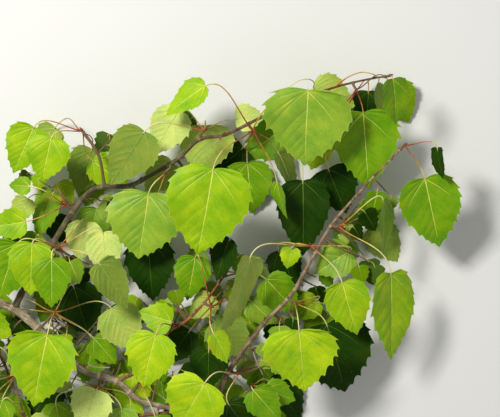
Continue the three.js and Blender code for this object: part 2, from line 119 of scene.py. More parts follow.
# %% Floor and lights
FLOOR_SIZE = 6
MIDDLE = Vector((0, 0, 0.05))
bpy.ops.mesh.primitive_plane_add(size=FLOOR_SIZE, location=(0, 0, 0))
floor = bpy.context.object
floor.name = "floor"


def add_area_light(name, place, size, power, colour):
    """A square light at a place, turned towards the middle of the branch."""
    bpy.ops.object.light_add(type="AREA", location=place)
    lamp = bpy.context.object
    lamp.name = name
    lamp.rotation_euler = (MIDDLE - Vector(place)).to_track_quat("-Z", "Y").to_euler()
    lamp.data.size = size
    lamp.data.energy = power
    lamp.data.color = colour


add_area_light("key_light", (-0.75, 0.75, 1.5), 0.4, 31, (1.0, 0.98, 0.91))
add_area_light("fill_light", (1.3, -0.7, 1.2), 1.4, 4, (1.0, 1.0, 0.96))
scene.world = bpy.data.worlds.new("soft_world")
scene.world.use_nodes = True
sky = scene.world.node_tree.nodes["Background"]
sky.inputs["Color"].default_value = (1.0, 1.0, 0.97, 1)
sky.inputs["Strength"].default_value = 0.27

# %% [markdown]
# ## The rule's numbers
#
# These are the numbers that also drive the solids, in millimetres. The limbs are tapering lines
# through a few points. A spur is a short shoot: its foot is where it leaves the limb, and all its
# leaves spring from its tip. A leaf is its level, the plan place of its base, its heading, its
# length and width, the way it lies, and here also its tint. Keeping them as named values and short
# tables means that one changed number changes the branch everywhere.

# %% Sizes shared by all leaves
GAP = 0.3
LEVEL_BASE, LEVEL_STEP, SHIFT_STEP = -4, 17, 3
SHOWN_SHIFTS = [0, 1, -1, 2, -2, 3, -3, 4, -4, 5, -5, 6, -6, 7, -7, 8]
GROWN_SHIFTS = list(range(15))
LOWEST_BASE = 2.5
ARCHES = [0.12, 0.3, 0, -0.15]
CELL = SAMPLE = 2.5
ROOT = 8
GROUND_ROOM = 0.02
WIDEST_AT = 0.33
STALK_RADIUS = 0.95
STALK_LAP = 3.5
SHORTEST_STALK = 6
LIMB_STEP = 12.5
SEED, SEED_STEP, TWIG_SEED = 4127, 7919, 31

# %% How a blade bends: its droop, the ripple of its edge, and the room it needs past its edge
DROOP = 0.1
RIPPLE, RIPPLE_TURNS, RIPPLE_SPLIT = 0.035, 7, 1.3
EDGE_ROOM = 1.06
BLADE_ROOT = 5

# %% The limbs
LIMBS = {
    "main_stem": (None, None, (4.9, 1.8), [
        (-298, -96, 34), (-272, -96, 34), (-246, -98, 35), (-224, -112, 36), (-188, -147, 37),
        (-165, -165, 36), (-134, -175, 34), (-113, -193, 32), (-90, -200, 31), (-37, -206, 29),
        (-10, -202, 28), (0, -186, 29)]),
    "upper_bough": ("main_stem", (-238, -101), (3.3, 0.9), [
        (-226, -78, 43), (-205, -47, 50), (-177, -3, 54), (-155, 20, 57), (-120, 23, 58),
        (-96, 35, 60), (-71, 50, 61), (-50, 69, 62), (-26, 73, 63), (10, 90, 65),
        (50, 108, 66), (86, 121, 67), (126, 130, 68), (134, 131, 68)]),
    "middle_bough": ("main_stem", (-133, -175), (2.1, 1.1), [
        (-117, -166, 37), (-100, -149, 40), (-82, -124, 43), (-63, -112, 46), (-44, -92, 48),
        (-26, -68, 50)]),
    "right_bough": ("main_stem", (-34, -206), (2.8, 0.9), [
        (-26, -173, 35), (-6, -142, 40), (15, -114, 43), (39, -90, 46), (58, -58, 48),
        (80, -19, 51), (96, 1, 53), (124, 32, 57), (150, 59, 60)]),
    "low_twig": ("main_stem", (-78, -200), (1.7, 1.0), [
        (-92, -208, 27), (-116, -211, 24), (-140, -214, 22), (-163, -216, 20)]),
    "left_bough": ("main_stem", (-258, -97), (2.0, 1.0), [
        (-254, -122, 31), (-255, -142, 29), (-248, -160, 27), (-243, -174, 26), (-236, -190, 25),
        (-230, -208, 24)]),
}

# %% The ways in which a blade lies: roll about its midrib, pitch of its tip, fold of its halves
FLAT = (0, -7, 0.1)
DIPPED = (0, -14, 0.07)
TILTED_LEFT = (36, -8, 0.12)
TILTED_RIGHT = (-36, -8, 0.12)
EDGE_LEFT = (66, -6, 0.16)
EDGE_RIGHT = (-66, -6, 0.16)
TENT = (6, -10, -0.3)
TURNED = (176, -5, -0.1)
TURNED_TILTED = (146, -6, -0.12)
TURNED_EDGE = (118, -5, -0.14)

# %% The spurs of the upper bough, with the leaves that the picture shows on each
# A leaf's last value is its tint: sunlit and lemon are painted sunlight, shade is painted shade.
SPURS = [
    ("crown_tip", "upper_bough", (134, 131), None, (139, 132, 70), 26, 0, [
        (5, 141, 128, -81, 46, 38, TILTED_RIGHT, "mid"),
        (3, 129, 126, -85, 34, 30, TURNED_EDGE, "mid")]),
    ("crown_red", "upper_bough", (102, 124), None, (105, 118, 73), 42, 2, [
        (4, 113, 96, -85, 78, 72, FLAT, "mid"),
        (1, 79, 40, -68, 50, 52, FLAT, "shade"),
        (2, 74, 70, -112, 34, 28, FLAT, "lemon")]),
    ("crown_mid", "upper_bough", (50, 108), None, (54, 101, 71), 40, 3, [
        (6, 57, 116, -93, 78, 88, DIPPED, "glossy"),
        (4, 53, 28, -88, 78, 54, FLAT, "shade")]),
    ("crown_green", "upper_bough", (-2, 85), None, (3, 78, 70), 44, 3, [
        (6, -36, 39, -99, 88, 84, FLAT, "sunlit"),
        (5, -44, 121, -146, 50, 34, TILTED_LEFT, "sunlit"),
        (3, 64, 120, -20, 46, 42, TURNED, "glossy"),
        (2, 29, 56, -65, 58, 40, TURNED_EDGE, "olive"),
        (3, 27, 26, -80, 38, 28, EDGE_LEFT, "mid")]),
    ("bend", "upper_bough", (-48, 70), None, (-45, 78, 67), 40, 3, [
        (5, -104, 76, -122, 64, 50, TURNED, "olive"),
        (3, -72, 98, -122, 52, 42, TURNED, "lemon"),
        (2, -45, 84, -90, 50, 58, TURNED, "glossy")]),
    ("inner", "upper_bough", (-80, 44), None, (-84, 36, 66), 52, 6, [
        (4, -101, 15, -98, 68, 78, FLAT, "glossy"),
        (2, -78, 46, -134, 42, 36, TURNED, "glossy"),
        (2, -103, -32, -88, 64, 52, FLAT, "shade")]),
    ("red_twig", "upper_bough", (-146, 21), (-151, 54, 68), (-166, 77, 74), 46, 2, [
        (4, -215, 81, -116, 52, 44, FLAT, "sunlit"),
        (5, -196, 70, -103, 46, 46, FLAT, "sunlit"),
        (2, -160, 60, -108, 48, 42, TURNED, "olive"),
        (4, -158, 48, -38, 46, 34, FLAT, "sunlit")]),
    ("shade", "upper_bough", (-176, -2), None, (-183, 3, 59), 46, 5, [
        (4, -198, 16, -115, 50, 40, TILTED_LEFT, "olive"),
        (3, -194, 26, -58, 27, 24, FLAT, "sunlit"),
        (4, -223, -13, -170, 44, 32, FLAT, "sunlit"),
        (3, -223, 10, -122, 27, 25, TURNED, "glossy"),
        (5, -217, 22, 176, 22, 19, FLAT, "mid")]),
    ("west", "upper_bough", (-198, -36), None, (-190, -38, 60), 52, 6, [
        (4, -231, -35, -112, 60, 54, FLAT, "mid"),
        (5, -215, -34, -94, 54, 46, FLAT, "sunlit"),
        (6, -194, -49, -90, 50, 40, FLAT, "mid"),
        (2, -166, -14, -100, 40, 38, TURNED, "lemon"),
        (2, -148, -24, -85, 44, 38, TURNED, "lemon"),
        (5, -149, -54, -55, 54, 42, TURNED_TILTED, "olive")]),
]

# %% The spurs of the stem and of the small limbs
SPURS += [
    ("fork", "main_stem", (-212, -121), None, (-196, -104, 47), 52, 6, [
        (6, -198, -123, -103, 76, 70, FLAT, "sunlit"),
        (3, -178, -78, -75, 54, 50, FLAT, "shade"),
        (3, -139, -100, -60, 50, 46, TURNED, "glossy")]),
    ("low_stem", "main_stem", (-150, -169), None, (-153, -179, 38), 50, 5, [
        (3, -154, -182, -112, 46, 44, TURNED, "lemon"),
        (2, -197, -197, -80, 36, 32, FLAT, "mid")]),
    ("mid_stem", "main_stem", (-120, -186), None, (-112, -176, 40), 40, 5, [
        (1, -120, -170, -95, 44, 40, FLAT, "lemon"),
        (2, -96, -209, -75, 38, 34, FLAT, "mid")]),
    ("low_twig", "low_twig", (-163, -216), None, (-167, -217, 20), 36, 2, [
        (1, -172, -214, -120, 34, 31, FLAT, "mid")]),
    ("centre", "middle_bough", (-82, -124), None, (-77, -116, 48), 46, 5, [
        (6, -92, -123, -106, 56, 50, FLAT, "lemon"),
        (3, -78, -113, 165, 36, 32, FLAT, "sunlit")]),
    ("centre_red", "middle_bough", (-46, -94), None, (-39, -98, 53), 44, 5, [
        (4, -41, -141, -92, 42, 40, TENT, "shade"),
        (4, -36, -123, -62, 34, 27, TILTED_RIGHT, "lemon"),
        (2, -37, -90, -140, 34, 28, TURNED, "glossy"),
        (3, -55, -49, -100, 46, 38, FLAT, "mid")]),
    ("centre_tip", "middle_bough", (-26, -68), None, (-23, -63, 52), 40, 4, [
        (4, -20, -30, -112, 46, 36, TILTED_LEFT, "shade"),
        (3, -8, -46, -100, 24, 21, FLAT, "mid")]),
    ("heel", "right_bough", (-20, -163), None, (-12, -166, 43), 38, 3, [
        (6, -44, -170, -120, 58, 62, DIPPED, "lemon")]),
    ("rise", "right_bough", (39, -90), None, (45, -94, 51), 46, 3, [
        (6, 48, -119, -85, 66, 76, DIPPED, "lemon"),
        (3, 77, -116, -74, 74, 80, FLAT, "shade")]),
    ("rise_mid", "right_bough", (67, -42), None, (61, -37, 54), 40, 3, [
        (5, 0, -48, -106, 84, 52, TURNED_EDGE, "glossy"),
        (5, 91, -73, -75, 56, 46, FLAT, "sunlit"),
        (2, 42, -39, -100, 23, 21, FLAT, "lemon")]),
    ("rise_high", "right_bough", (82, -16), None, (89, -18, 56), 40, 2, [
        (5, 139, -64, -87, 90, 58, TILTED_RIGHT, "sunlit"),
        (4, 133, 8, -86, 58, 40, EDGE_RIGHT, "olive")]),
    ("right_tip", "right_bough", (150, 59), None, (154, 63, 62), 24, 0, [
        (4, 174, 30, -77, 72, 62, FLAT, "mid"),
        (5, 185, 60, -84, 32, 28, EDGE_LEFT, "shade")]),
    ("foot_tip", "main_stem", (0, -186), None, (2, -179, 32), 36, 3, [
        (3, 3, -182, -50, 44, 36, FLAT, "mid"),
        (1, -5, -188, -150, 28, 26, FLAT, "sunlit"),
        (2, 16, -182, -25, 34, 30, FLAT, "mid")]),
    ("west_low", "left_bough", (-244, -172), None, (-237, -168, 31), 40, 5, [
        (4, -255, -138, -160, 44, 38, FLAT, "mid"),
        (3, -266, -112, -30, 32, 30, FLAT, "sunlit")]),
    ("west_tip", "left_bough", (-230, -208), None, (-228, -213, 25), 34, 4, [
        (3, -248, -192, -112, 36, 32, FLAT, "mid"),
        (2, -222, -212, -50, 34, 30, TURNED, "glossy")]),
]
print("spurs:", len(SPURS), "leaves in the tables:", sum(len(s[-1]) for s in SPURS))

# %% Leaves that grow by rule
GROWN_LENGTH = (32, 54)
GROWN_WIDTH = (0.84, 0.96)
GROWN_HEADING, GROWN_SWING = -94, 110
GROWN_BEARING = (-195, 15)
NEAREST_START = 16
TURNED_SHARE = 0.3
OPEN_SHARE = 0.17
LOWEST_START = 4
TRIES_EACH = 25

# %% [markdown]
# ## Smooth lines through points
#
# A limb or a spur follows a smooth line through its points. A centripetal Catmull-Rom spline
# does that without loops or overshoot, even where the points are unevenly spaced. The length
# along it comes from 200 short chords, which is exact enough for stepping evenly along it.


# %% Ways of length one
def unit(way):
    return way / np.linalg.norm(way)


def unit_rows(ways):
    return ways / np.linalg.norm(ways, axis=1, keepdims=True)


# %% Splines
CHORDS = np.linspace(0, 1, 201)


class Spline:
    """A centripetal Catmull-Rom line through points, with an even walk along its length."""

    def __init__(self, points):
        points = np.array(points, float)
        ends = (2 * points[0] - points[1], 2 * points[-1] - points[-2])
        self.knots = np.vstack([ends[0], points, ends[1]])
        self.spans = len(points) - 1
        steps = np.diff(self.at(CHORDS), axis=0)
        self.lengths = np.concatenate([[0], np.cumsum(np.linalg.norm(steps, axis=1))])
        self.length = self.lengths[-1]

    def at(self, shares):
        """Points at shares of the spline's own parameter."""
        p = np.atleast_1d(np.asarray(shares, float)) * self.spans
        i = np.minimum(p.astype(int), self.spans - 1)
        w = (p - i)[:, None]
        a, b, c, d = (self.knots[i + k] for k in range(4))
        pairs = ((b, a), (c, b), (d, c))
        g0, g1, g2 = (np.sum((q - r) ** 2, axis=1)[:, None] ** 0.25 for q, r in pairs)
        out = ((b - a) / g0 - (c - a) / (g0 + g1) + (c - b) / g1) * g1
        into = ((c - b) / g1 - (d - b) / (g1 + g2) + (d - c) / g2) * g1
        bend = -3 * b + 3 * c - 2 * out - into
        twist = 2 * b - 2 * c + out + into
        return b + out * w + bend * w**2 + twist * w**3

    def along(self, shares):
        """Points at shares of the length."""
        return self.at(np.interp(np.asarray(shares) * self.length, self.lengths, CHORDS))


# %% Chains of straight stretches, and simple curves
class Chain:
    """Straight stretches between evenly spaced points of a spline, as the solids have them."""

    def __init__(self, spline, steps):
        self.rings = spline.along(np.linspace(0, 1, steps + 1))
        sizes = np.linalg.norm(np.diff(self.rings, axis=0), axis=1)
        self.lengths = np.concatenate([[0], np.cumsum(sizes)])
        self.length = self.lengths[-1]

    def along(self, shares):
        at = np.asarray(shares) * self.length
        return np.stack([np.interp(at, self.lengths, self.rings[:, k]) for k in range(3)], axis=-1)

    def direction(self, share):
        ends = self.along([max(0, share - 1e-4), min(1, share + 1e-4)])
        return unit(ends[1] - ends[0])


class Bezier:
    """A cubic curve from four points."""

    def __init__(self, *points):
        self.points = np.array(points, float)
        self.length = np.linalg.norm(np.diff(self.at(CHORDS), axis=0), axis=1).sum()

    def at(self, shares):
        t = np.atleast_1d(np.asarray(shares, float))[:, None]
        a, b, c, d = self.points
        return a * (1 - t) ** 3 + 3 * b * t * (1 - t) ** 2 + 3 * c * t * t * (1 - t) + d * t**3


# %% [markdown]
# ## Sharing out the space
#
# Leaves must not cut through each other. The space round the branch is divided into cubes of
# 2.5 mm, and each leaf and stalk takes the cubes that it passes, with one more all round. A new
# leaf is raised or lowered until all its cubes are free. A cube holds 0 where it is free, BUSY
# where two masses border, or else a mass's number times two, plus one for a blade.

# %% The cubes
BUSY = 1
FIELD_LOW = np.array([-332.0, -258.0, -20.0])
FIELD_HIGH = np.array([248.0, 162.0, 200.0])
CUBES = np.ceil((FIELD_HIGH - FIELD_LOW) / CELL).astype(int)
space = np.zeros(CUBES.prod(), np.int32)
ceiling = np.full(CUBES[:2], np.inf)


def cube_of(points):
    """The number of the cube that holds each point, or -1 near the edge of the field."""
    at = np.floor((points - FIELD_LOW) / CELL).astype(int)
    inside = ((at > 3) & (at < CUBES - 4)).all(axis=1)
    return np.where(inside, (at[:, 0] * CUBES[1] + at[:, 1]) * CUBES[2] + at[:, 2], -1)


def cover(points):
    """Notes for each column of cubes how low the lowest leaf or limb in it lies."""
    np.minimum.at(ceiling.reshape(-1), cube_of(points) // CUBES[2], points[:, 2])


# %% Taking cubes and testing them
def take(points, mass, blade, reach):
    """Marks the cubes within reach cubes of each point."""
    at = cube_of(points)
    near = np.arange(-reach, reach + 1)
    around = ((near[:, None, None] * CUBES[1] + near[:, None]) * CUBES[2] + near).ravel()
    found = np.unique(at[at >= 0][:, None] + around)
    old = space[found]
    same = (old == 0) | (old >> 1 == mass)
    space[found] = np.where(same, np.maximum(old, 2 * mass + blade), BUSY)
    return found, old


def is_free(points, root, mass, blade):
    """A blade keeps clear of all but its root, and a stalk of all but its own mass's stalks."""
    at = cube_of(points)
    if (at < 0).any():
        return False
    old = space[at]
    return bool(((old == 0) | root | ((old == 2 * mass) & (not blade))).all())


def is_clear(points, root, mass, blade):
    """The looser test for fine growth: a twig may also pass close to the stalks of other masses."""
    at = cube_of(points)
    if (at < 0).any():
        return False
    old = space[at]
    clear = (old == 0) | (old == 2 * mass) if blade else (old & 1 == 0) & (old != 2 * LIMB_MASS)
    return bool((clear | root).all())


def open_share(points):
    """The share of the points that no blade covers, from the ground up."""
    columns = space.reshape(-1, CUBES[2])[cube_of(points) // CUBES[2]]
    return 1 - (columns & 1).any(axis=1).mean()


# %% [markdown]
# ## The blade as a surface
#
# A blade starts flat, in its own outline, and is then bent: it droops towards the tip, folds a
# little along the midrib, and its edge waves. place() does all of that at once for a point at a
# share t of the length and a share s of the half width. The solids were made with the same
# surface, so a leaf made here lies exactly in its solid.


# %% The blade's outline
def half_width(t):
    """Half the width of a blade, as a share of its widest, at a share t of its length."""
    t = np.asarray(t, float)
    low = np.clip(t / WIDEST_AT, 0, 1)
    high = np.clip((t - WIDEST_AT) / (1 - WIDEST_AT), 0, 1)
    shape = np.where(t < WIDEST_AT, (1 - (1 - low) ** 2.4) ** 0.25, (1 - high**1.9) ** 0.85)
    return np.where((t <= 0) | (t >= 1), 0, shape)


# %% The blade's surface
class Blade:
    """One leaf's surface. Lengths in millimetres of the layout, angles in degrees."""

    def __init__(self, base, heading, length, width, lie, phase):
        roll, pitch, self.fold = lie
        turn, tip, roll = (math.radians(a) for a in (heading, pitch, roll))
        flat = np.array([math.cos(turn), math.sin(turn), 0])
        self.along = flat * math.cos(tip) + np.array([0, 0, math.sin(tip)])
        level = np.array([-math.sin(turn), math.cos(turn), 0])
        self.across = level * math.cos(roll) + np.cross(self.along, level) * math.sin(roll)
        self.normal = np.cross(self.along, self.across)
        self.base = np.array(base, float)
        self.facing = -1 if math.cos(roll) < 0 else 1
        self.length, self.width, self.phase = length, width, phase

    def lift(self, t, side, s):
        """How far the surface stands off its plane."""
        droop = -DROOP * self.facing * self.length * t * t
        turn = self.phase + RIPPLE_TURNS * t + RIPPLE_SPLIT * np.sign(s)
        wave = RIPPLE * self.width * np.sin(turn) * s * s
        return droop + self.fold * np.abs(side) + wave

    def place(self, t, s):
        side = s * half_width(t) * self.width / 2
        return self.put(t * self.length, side, self.lift(t, side, s))

    def put(self, forward, side, off):
        """A point from its distance along the midrib, to the side of it, and off the plane."""
        return (self.base + np.multiply.outer(forward, self.along)
                + np.multiply.outer(side, self.across) + np.multiply.outer(off, self.normal))

    def samples(self):
        """Points all over the blade, and which of them lie at its root."""
        rows = math.ceil(self.length / SAMPLE)
        t_all, s_all = [], []
        for t in np.arange(rows + 1) / rows:
            columns = math.ceil(float(half_width(t)) * self.width / SAMPLE)
            s = EDGE_ROOM * (2 * np.arange(columns + 1) / columns - 1) if columns else np.zeros(1)
            t_all.append(np.full(len(s), t))
            s_all.append(s)
        t = np.concatenate(t_all)
        points = self.place(t, np.concatenate(s_all))
        points[:, 2] = np.maximum(points[:, 2], GROUND_ROOM)
        return points, t * self.length < BLADE_ROOT


# %% The stalk
def stalk_of(tip, blade, arch):
    """The stalk's curve, from the spur's tip a little way into the blade, along its midrib."""
    way = blade.base - tip
    span = max(np.linalg.norm(way), SHORTEST_STALK)
    rise = np.array([0, 0, arch * span])
    points = [tip, tip + 0.35 * way + rise, blade.base - 0.4 * span * blade.along + rise,
              blade.base + STALK_LAP * blade.along]
    for p in points[1:]:
        p[2] = max(p[2], STALK_RADIUS + GROUND_ROOM)
    return Bezier(*points)


def stalk_samples(curve):
    count = math.ceil(curve.length / SAMPLE)
    return curve.at(np.arange(count + 1) / count), np.arange(count + 1) * SAMPLE < ROOT


# %% Settling a leaf: it is tried at its height, then at others, until nothing is in its way
def settle(leaf, tip, mass, shifts, margin=1, free=is_free):
    """Returns the blade and its stalk's curve, and takes their cubes, or returns None."""
    base, heading, length, width, lie, phase = leaf
    for shift in shifts:
        z = base[2] + shift * SHIFT_STEP
        if z < LOWEST_BASE and shift != 0:
            continue
        blade = Blade((base[0], base[1], z), heading, length, width, lie, phase)
        points, root = blade.samples()
        if not free(points, root, mass, True):
            continue
        for arch in ARCHES:
            curve = stalk_of(tip, blade, arch)
            line, line_root = stalk_samples(curve)
            if free(line, line_root, mass, False):
                take(points, mass, True, margin)
                take(line, mass, False, margin)
                cover(points)
                return blade, curve
    return None


# %% [markdown]
# ## Growing the branch
#
# First the limbs take their room, then the spurs, then the leaves of the tables from the highest
# level down, and last the leaves that each spur sends out by rule, low down, where the ground
# still shows. The random numbers come from a plain generator with a fixed seed, so each run grows
# the same branch, and the same one as the solids.


# %% Limbs
LIMB_MASS = 1
LOOKS = 400


def radius_at(radius, share):
    """A limb's radius at a share of its length. It tapers evenly from its foot to its tip."""
    return radius[0] + (radius[1] - radius[0]) * share


def nearest(limb, place):
    """Where a limb passes nearest a plan place: centre, direction, radius and share of length."""
    chain, radius = limb
    shares = np.arange(LOOKS + 1) / LOOKS
    points = chain.along(shares)
    best = shares[np.argmin(((points[:, :2] - place) ** 2).sum(axis=1))]
    return chain.along(best), chain.direction(best), radius_at(radius, best), best


def away_from(centre, direction, target):
    """The way from a point of a limb towards a target, square to the limb."""
    way = np.array(target, float) - centre
    return unit(way - direction * (way @ direction))


limbs, limb_lines = {}, {}
for name, (parent, foot, radius, line) in LIMBS.items():
    line = [np.array(p, float) for p in line]
    if parent:
        centre, direction, thick, _ = nearest(limbs[parent], foot)
        out = away_from(centre, direction, line[0])
        line = [centre + out * (thick + GAP), centre + out * (thick + GAP + radius[0])] + line
    spline = Spline(line)
    chain = Chain(spline, round(spline.length / LIMB_STEP))
    limbs[name] = (chain, radius)
    limb_lines[name] = spline
    count = math.ceil(chain.length / SAMPLE)
    for i in range(count + 1):
        thick = radius_at(radius, i / count)
        middle = chain.along([i / count])
        take(middle, LIMB_MASS, False, math.ceil((thick + 1) / CELL))
        cover(middle + thick * np.array([(x, y, -1) for x in (-1, 0, 1) for y in (-1, 0, 1)]))
    print(name, "is", round(spline.length), "mm long")

# %% Spurs
END_FROM = 0.995
FIRST_STEP = 2.5
SLIM, STOUT = 1.3, 1.5
spurs = []
for number, (name, limb, foot, via, tip, reach, grown, leaves) in enumerate(SPURS):
    mass = LIMB_MASS + 1 + number
    centre, direction, radius, share = nearest(limbs[limb], foot)
    target = via or tip
    at_end = share > END_FROM
    out = direction if at_end else away_from(centre, direction, target)
    start = centre + out * ((0 if at_end else radius) + GAP)
    curve = Spline([start, start + FIRST_STEP * out, *([via] if via else []), tip])
    count = math.ceil(curve.length / SAMPLE)
    take(curve.along(np.arange(count + 1) / count), mass, False, 1)
    spurs.append({"name": name, "mass": mass, "limb": limb, "curve": curve,
                  "tip": np.array(tip, float), "thick": STOUT if via else SLIM, "reach": reach,
                  "grown": grown, "leaves": leaves, "made": []})
print("the longest spur is", round(max(s["curve"].length for s in spurs), 1), "mm long")


# %% The leaves of the tables, from the highest level down
PHASE_BY_NUMBER, PHASE_BY_PLACE = 1.7, 0.013


def settle_listed(spur, row, phase):
    """Settles a leaf of the tables. Returns a list of it, which is empty where it has no room."""
    level, x, y, heading, length, width, lie, tint = row
    leaf = ((x, y, LEVEL_BASE + LEVEL_STEP * level), heading, length, width, lie, phase)
    made = settle(leaf, spur["tip"], spur["mass"], SHOWN_SHIFTS)
    return [(*made, tint)] if made else []


def count_of(kind):
    return sum(len(spur[kind]) for spur in spurs)


shown = [(spur, i, row) for spur in spurs for i, row in enumerate(spur["leaves"])]
for spur, i, row in sorted(shown, key=lambda s: -s[2][0]):
    spur["made"] += settle_listed(spur, row, PHASE_BY_NUMBER * i + PHASE_BY_PLACE * row[1])
print("leaves of the tables:", count_of("made"), "of", len(shown))

# %% The leaves that grow by rule
FACTOR, LARGEST = 16807, 2147483647
state = SEED


def random():
    """The next number between 0 and 1 of a plain generator."""
    global state
    state = state * FACTOR % LARGEST
    return state / LARGEST


def between(span):
    return span[0] + (span[1] - span[0]) * random()


for spur in spurs:
    state = SEED + SEED_STEP * spur["mass"]
    more = spur["grown"]
    for _ in range(TRIES_EACH * spur["grown"]):
        if more <= 0:
            break
        bearing = math.radians(between(GROWN_BEARING))
        distance = between((NEAREST_START, spur["reach"]))
        length = between(GROWN_LENGTH)
        x = spur["tip"][0] + distance * math.cos(bearing)
        y = spur["tip"][1] + distance * math.sin(bearing)
        heading = GROWN_HEADING + GROWN_SWING * (random() - 0.5)
        width = length * between(GROWN_WIDTH)
        lie = TURNED if random() < TURNED_SHARE else FLAT
        leaf = ((x, y, LOWEST_START), heading, length, width, lie, 6 * random())
        points, _ = Blade(*leaf).samples()
        if (cube_of(points) < 0).any() or open_share(points) < OPEN_SHARE:
            continue
        made = settle(leaf, spur["tip"], spur["mass"], GROWN_SHIFTS)
        if made:
            spur["made"].append((*made, "grown"))
            more -= 1
print("leaves in all:", count_of("made"))

# %% Check that each mass lies in its solid
LARGEST_MISS = 3
worst = 0
for spur in spurs:
    points = to_frame(np.vstack([blade.samples()[0] for blade, _, _ in spur["made"]]))
    low, high = np.array(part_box("foliage_" + spur["name"]))
    miss = max((low - points.min(axis=0)).max(), (points.max(axis=0) - high).max()) / MM
    worst = max(worst, miss)
    if miss > LARGEST_MISS:
        print("  ", spur["name"], "reaches", round(miss, 1), "mm past its solid")
print("the blades reach at most", round(worst, 2), "mm past their solids")

# %% [markdown]
# ## Fine twigs with small leaves
#
# Between the long stalks of its big leaves, a mass also has slim twigs with small leaves. They
# follow the same rule in the same cubes, carried one step finer: a twig leaves the spur or its
# limb, and leaves stand on it left and right in turn, each on its own short stalk. Of a few places
# in the reach of the mass, the twig ends at the one where the ground shows most, so the small
# leaves fill the gaps between the large ones. The spurs at the two furthest tips get none, as the
# picture is open there.

# %% A leaf of the second size, which the picture shows behind the upper bough
SECOND_LEAVES = {"bend": [(3, -14, 91, 5, 30, 30, TURNED, "lemon")]}
for spur in spurs:
    rows = SECOND_LEAVES.get(spur["name"], [])
    spur["second"] = [leaf for row in rows for leaf in settle_listed(spur, row, 2)]
print("second leaves:", count_of("second"))

# %% The rule of the fine twigs
TWIGS_PER_GROWN = 4
TWIG_TRIES = 8
TWIG_LEAVES = (0.4, 0.6, 0.8, 1.0)
TWIG_TURN = 55
TWIG_ARCHES = (0.1, 0.25, -0.1, 0.45, -0.3)
TWIG_SWING = 0.3
LONGEST_TWIG = 1.2
LOWEST_TWIG = 1.5
SMALL_STALK = (5, 11)
SMALL_LENGTH = (15, 29)
SMALL_WIDTH = (0.84, 1.0)
SMALL_ROLL, SMALL_BEND = 70, (-10, 0.12)
SMALL_SHIFTS = [0, -1, 1, -2, 2]
ON_TOP = 0.2
SMALL_OPEN = 0.2
# Most small leaves get the dark tints, a painted shade in the low gaps; a few get painted sunlight.
SMALL_TINTS = ("shade", "olive", "mid", "shade", "sunlit", "olive", "shade", "mid", "glossy")
SIDE_ROOM = 12
HANG, HANGING = 1.4, math.radians(-94)
SWAY = 0.9
GAP_CELLS = 10
SKY = [((146, 30), (192, 84))]


# %% Where the ground shows between the leaves
def enclosed_gaps():
    """How open each column of cubes is, for columns with leaves near on all four sides, else 0."""
    covered = np.isfinite(ceiling)
    near = np.ones_like(covered)
    for axis in (0, 1):
        for way in (1, -1):
            seen = np.flip(covered, axis) if way < 0 else covered
            total = np.cumsum(seen, axis=axis)
            before = np.roll(total, GAP_CELLS, axis=axis)
            before[(slice(None),) * axis + (slice(0, GAP_CELLS),)] = 0
            near &= np.flip(total > before, axis) if way < 0 else total > before
    shifts = [(i, j) for i in range(-2, 3) for j in range(-2, 3)]
    around = sum(np.roll(~covered, shift, axis=(0, 1)) for shift in shifts) / len(shifts)
    for corners in SKY:
        (x0, y0), (x1, y1) = ((np.array(corners) - FIELD_LOW[:2]) / CELL).astype(int)
        near[x0:x1, y0:y1] = False
    return np.where(near & ~covered, around, 0)


# %% Where a twig ends
TWIG_LIFT, TWIG_SPREAD = 4, 0.45


def reach_of(spur):
    """The box of a mass's solid in the layout, with a little room at its sides."""
    low, high = (np.array(corner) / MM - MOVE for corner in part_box("foliage_" + spur["name"]))
    return low - (SIDE_ROOM, SIDE_ROOM, 0), high + (SIDE_ROOM, SIDE_ROOM, 0)


def open_end(gaps, reach):
    """Of three random gaps in a mass's reach, the one where the ground shows most."""
    first, last = (((corner[:2] - FIELD_LOW[:2]) / CELL).astype(int) for corner in reach)
    inside = gaps[first[0]:last[0], first[1]:last[1]]
    found = np.argwhere(inside > SMALL_OPEN)
    if not len(found):
        return None
    tried = [found[int(random() * len(found))] for _ in range(3)]
    best = max(tried, key=lambda place: inside[tuple(place)])
    x, y = FIELD_LOW[:2] + (best + first + 0.5) * CELL
    low, high = reach[0][2], reach[1][2]
    return np.array([x, y, low + TWIG_LIFT + (high - low) * TWIG_SPREAD * random()])


# %% A twig from its foot to its end
def foot_of_twig(spur, end):
    """Half of the twigs leave their spur, and the others their limb where it is nearest."""
    if random() < 0.5:
        return spur["curve"].along([0.4 + 0.55 * random()])[0]
    centre, direction, radius, _ = nearest(limbs[spur["limb"]], end[:2])
    return centre + away_from(centre, direction, end) * (radius + GAP)


def grow_twig(spur, end):
    """A twig's line to an end, and the cubes it took, or None where something is in its way."""
    foot = foot_of_twig(spur, end)
    way = end - foot
    if np.linalg.norm(way) > LONGEST_TWIG * spur["reach"]:
        return None
    swing = np.array([-way[1], way[0], 0]) * (TWIG_SWING * random() - TWIG_SWING / 2)
    for arch in TWIG_ARCHES:
        rise = np.array([0, 0, arch * np.linalg.norm(way)])
        line = Bezier(foot, foot + 0.3 * way + rise + swing, foot + 0.75 * way + rise, end)
        points, root = stalk_samples(line)
        if (points[:, 2] > LOWEST_TWIG).all() and is_clear(points, root, spur["mass"], False):
            return line, take(points, spur["mass"], False, 1)
    return None


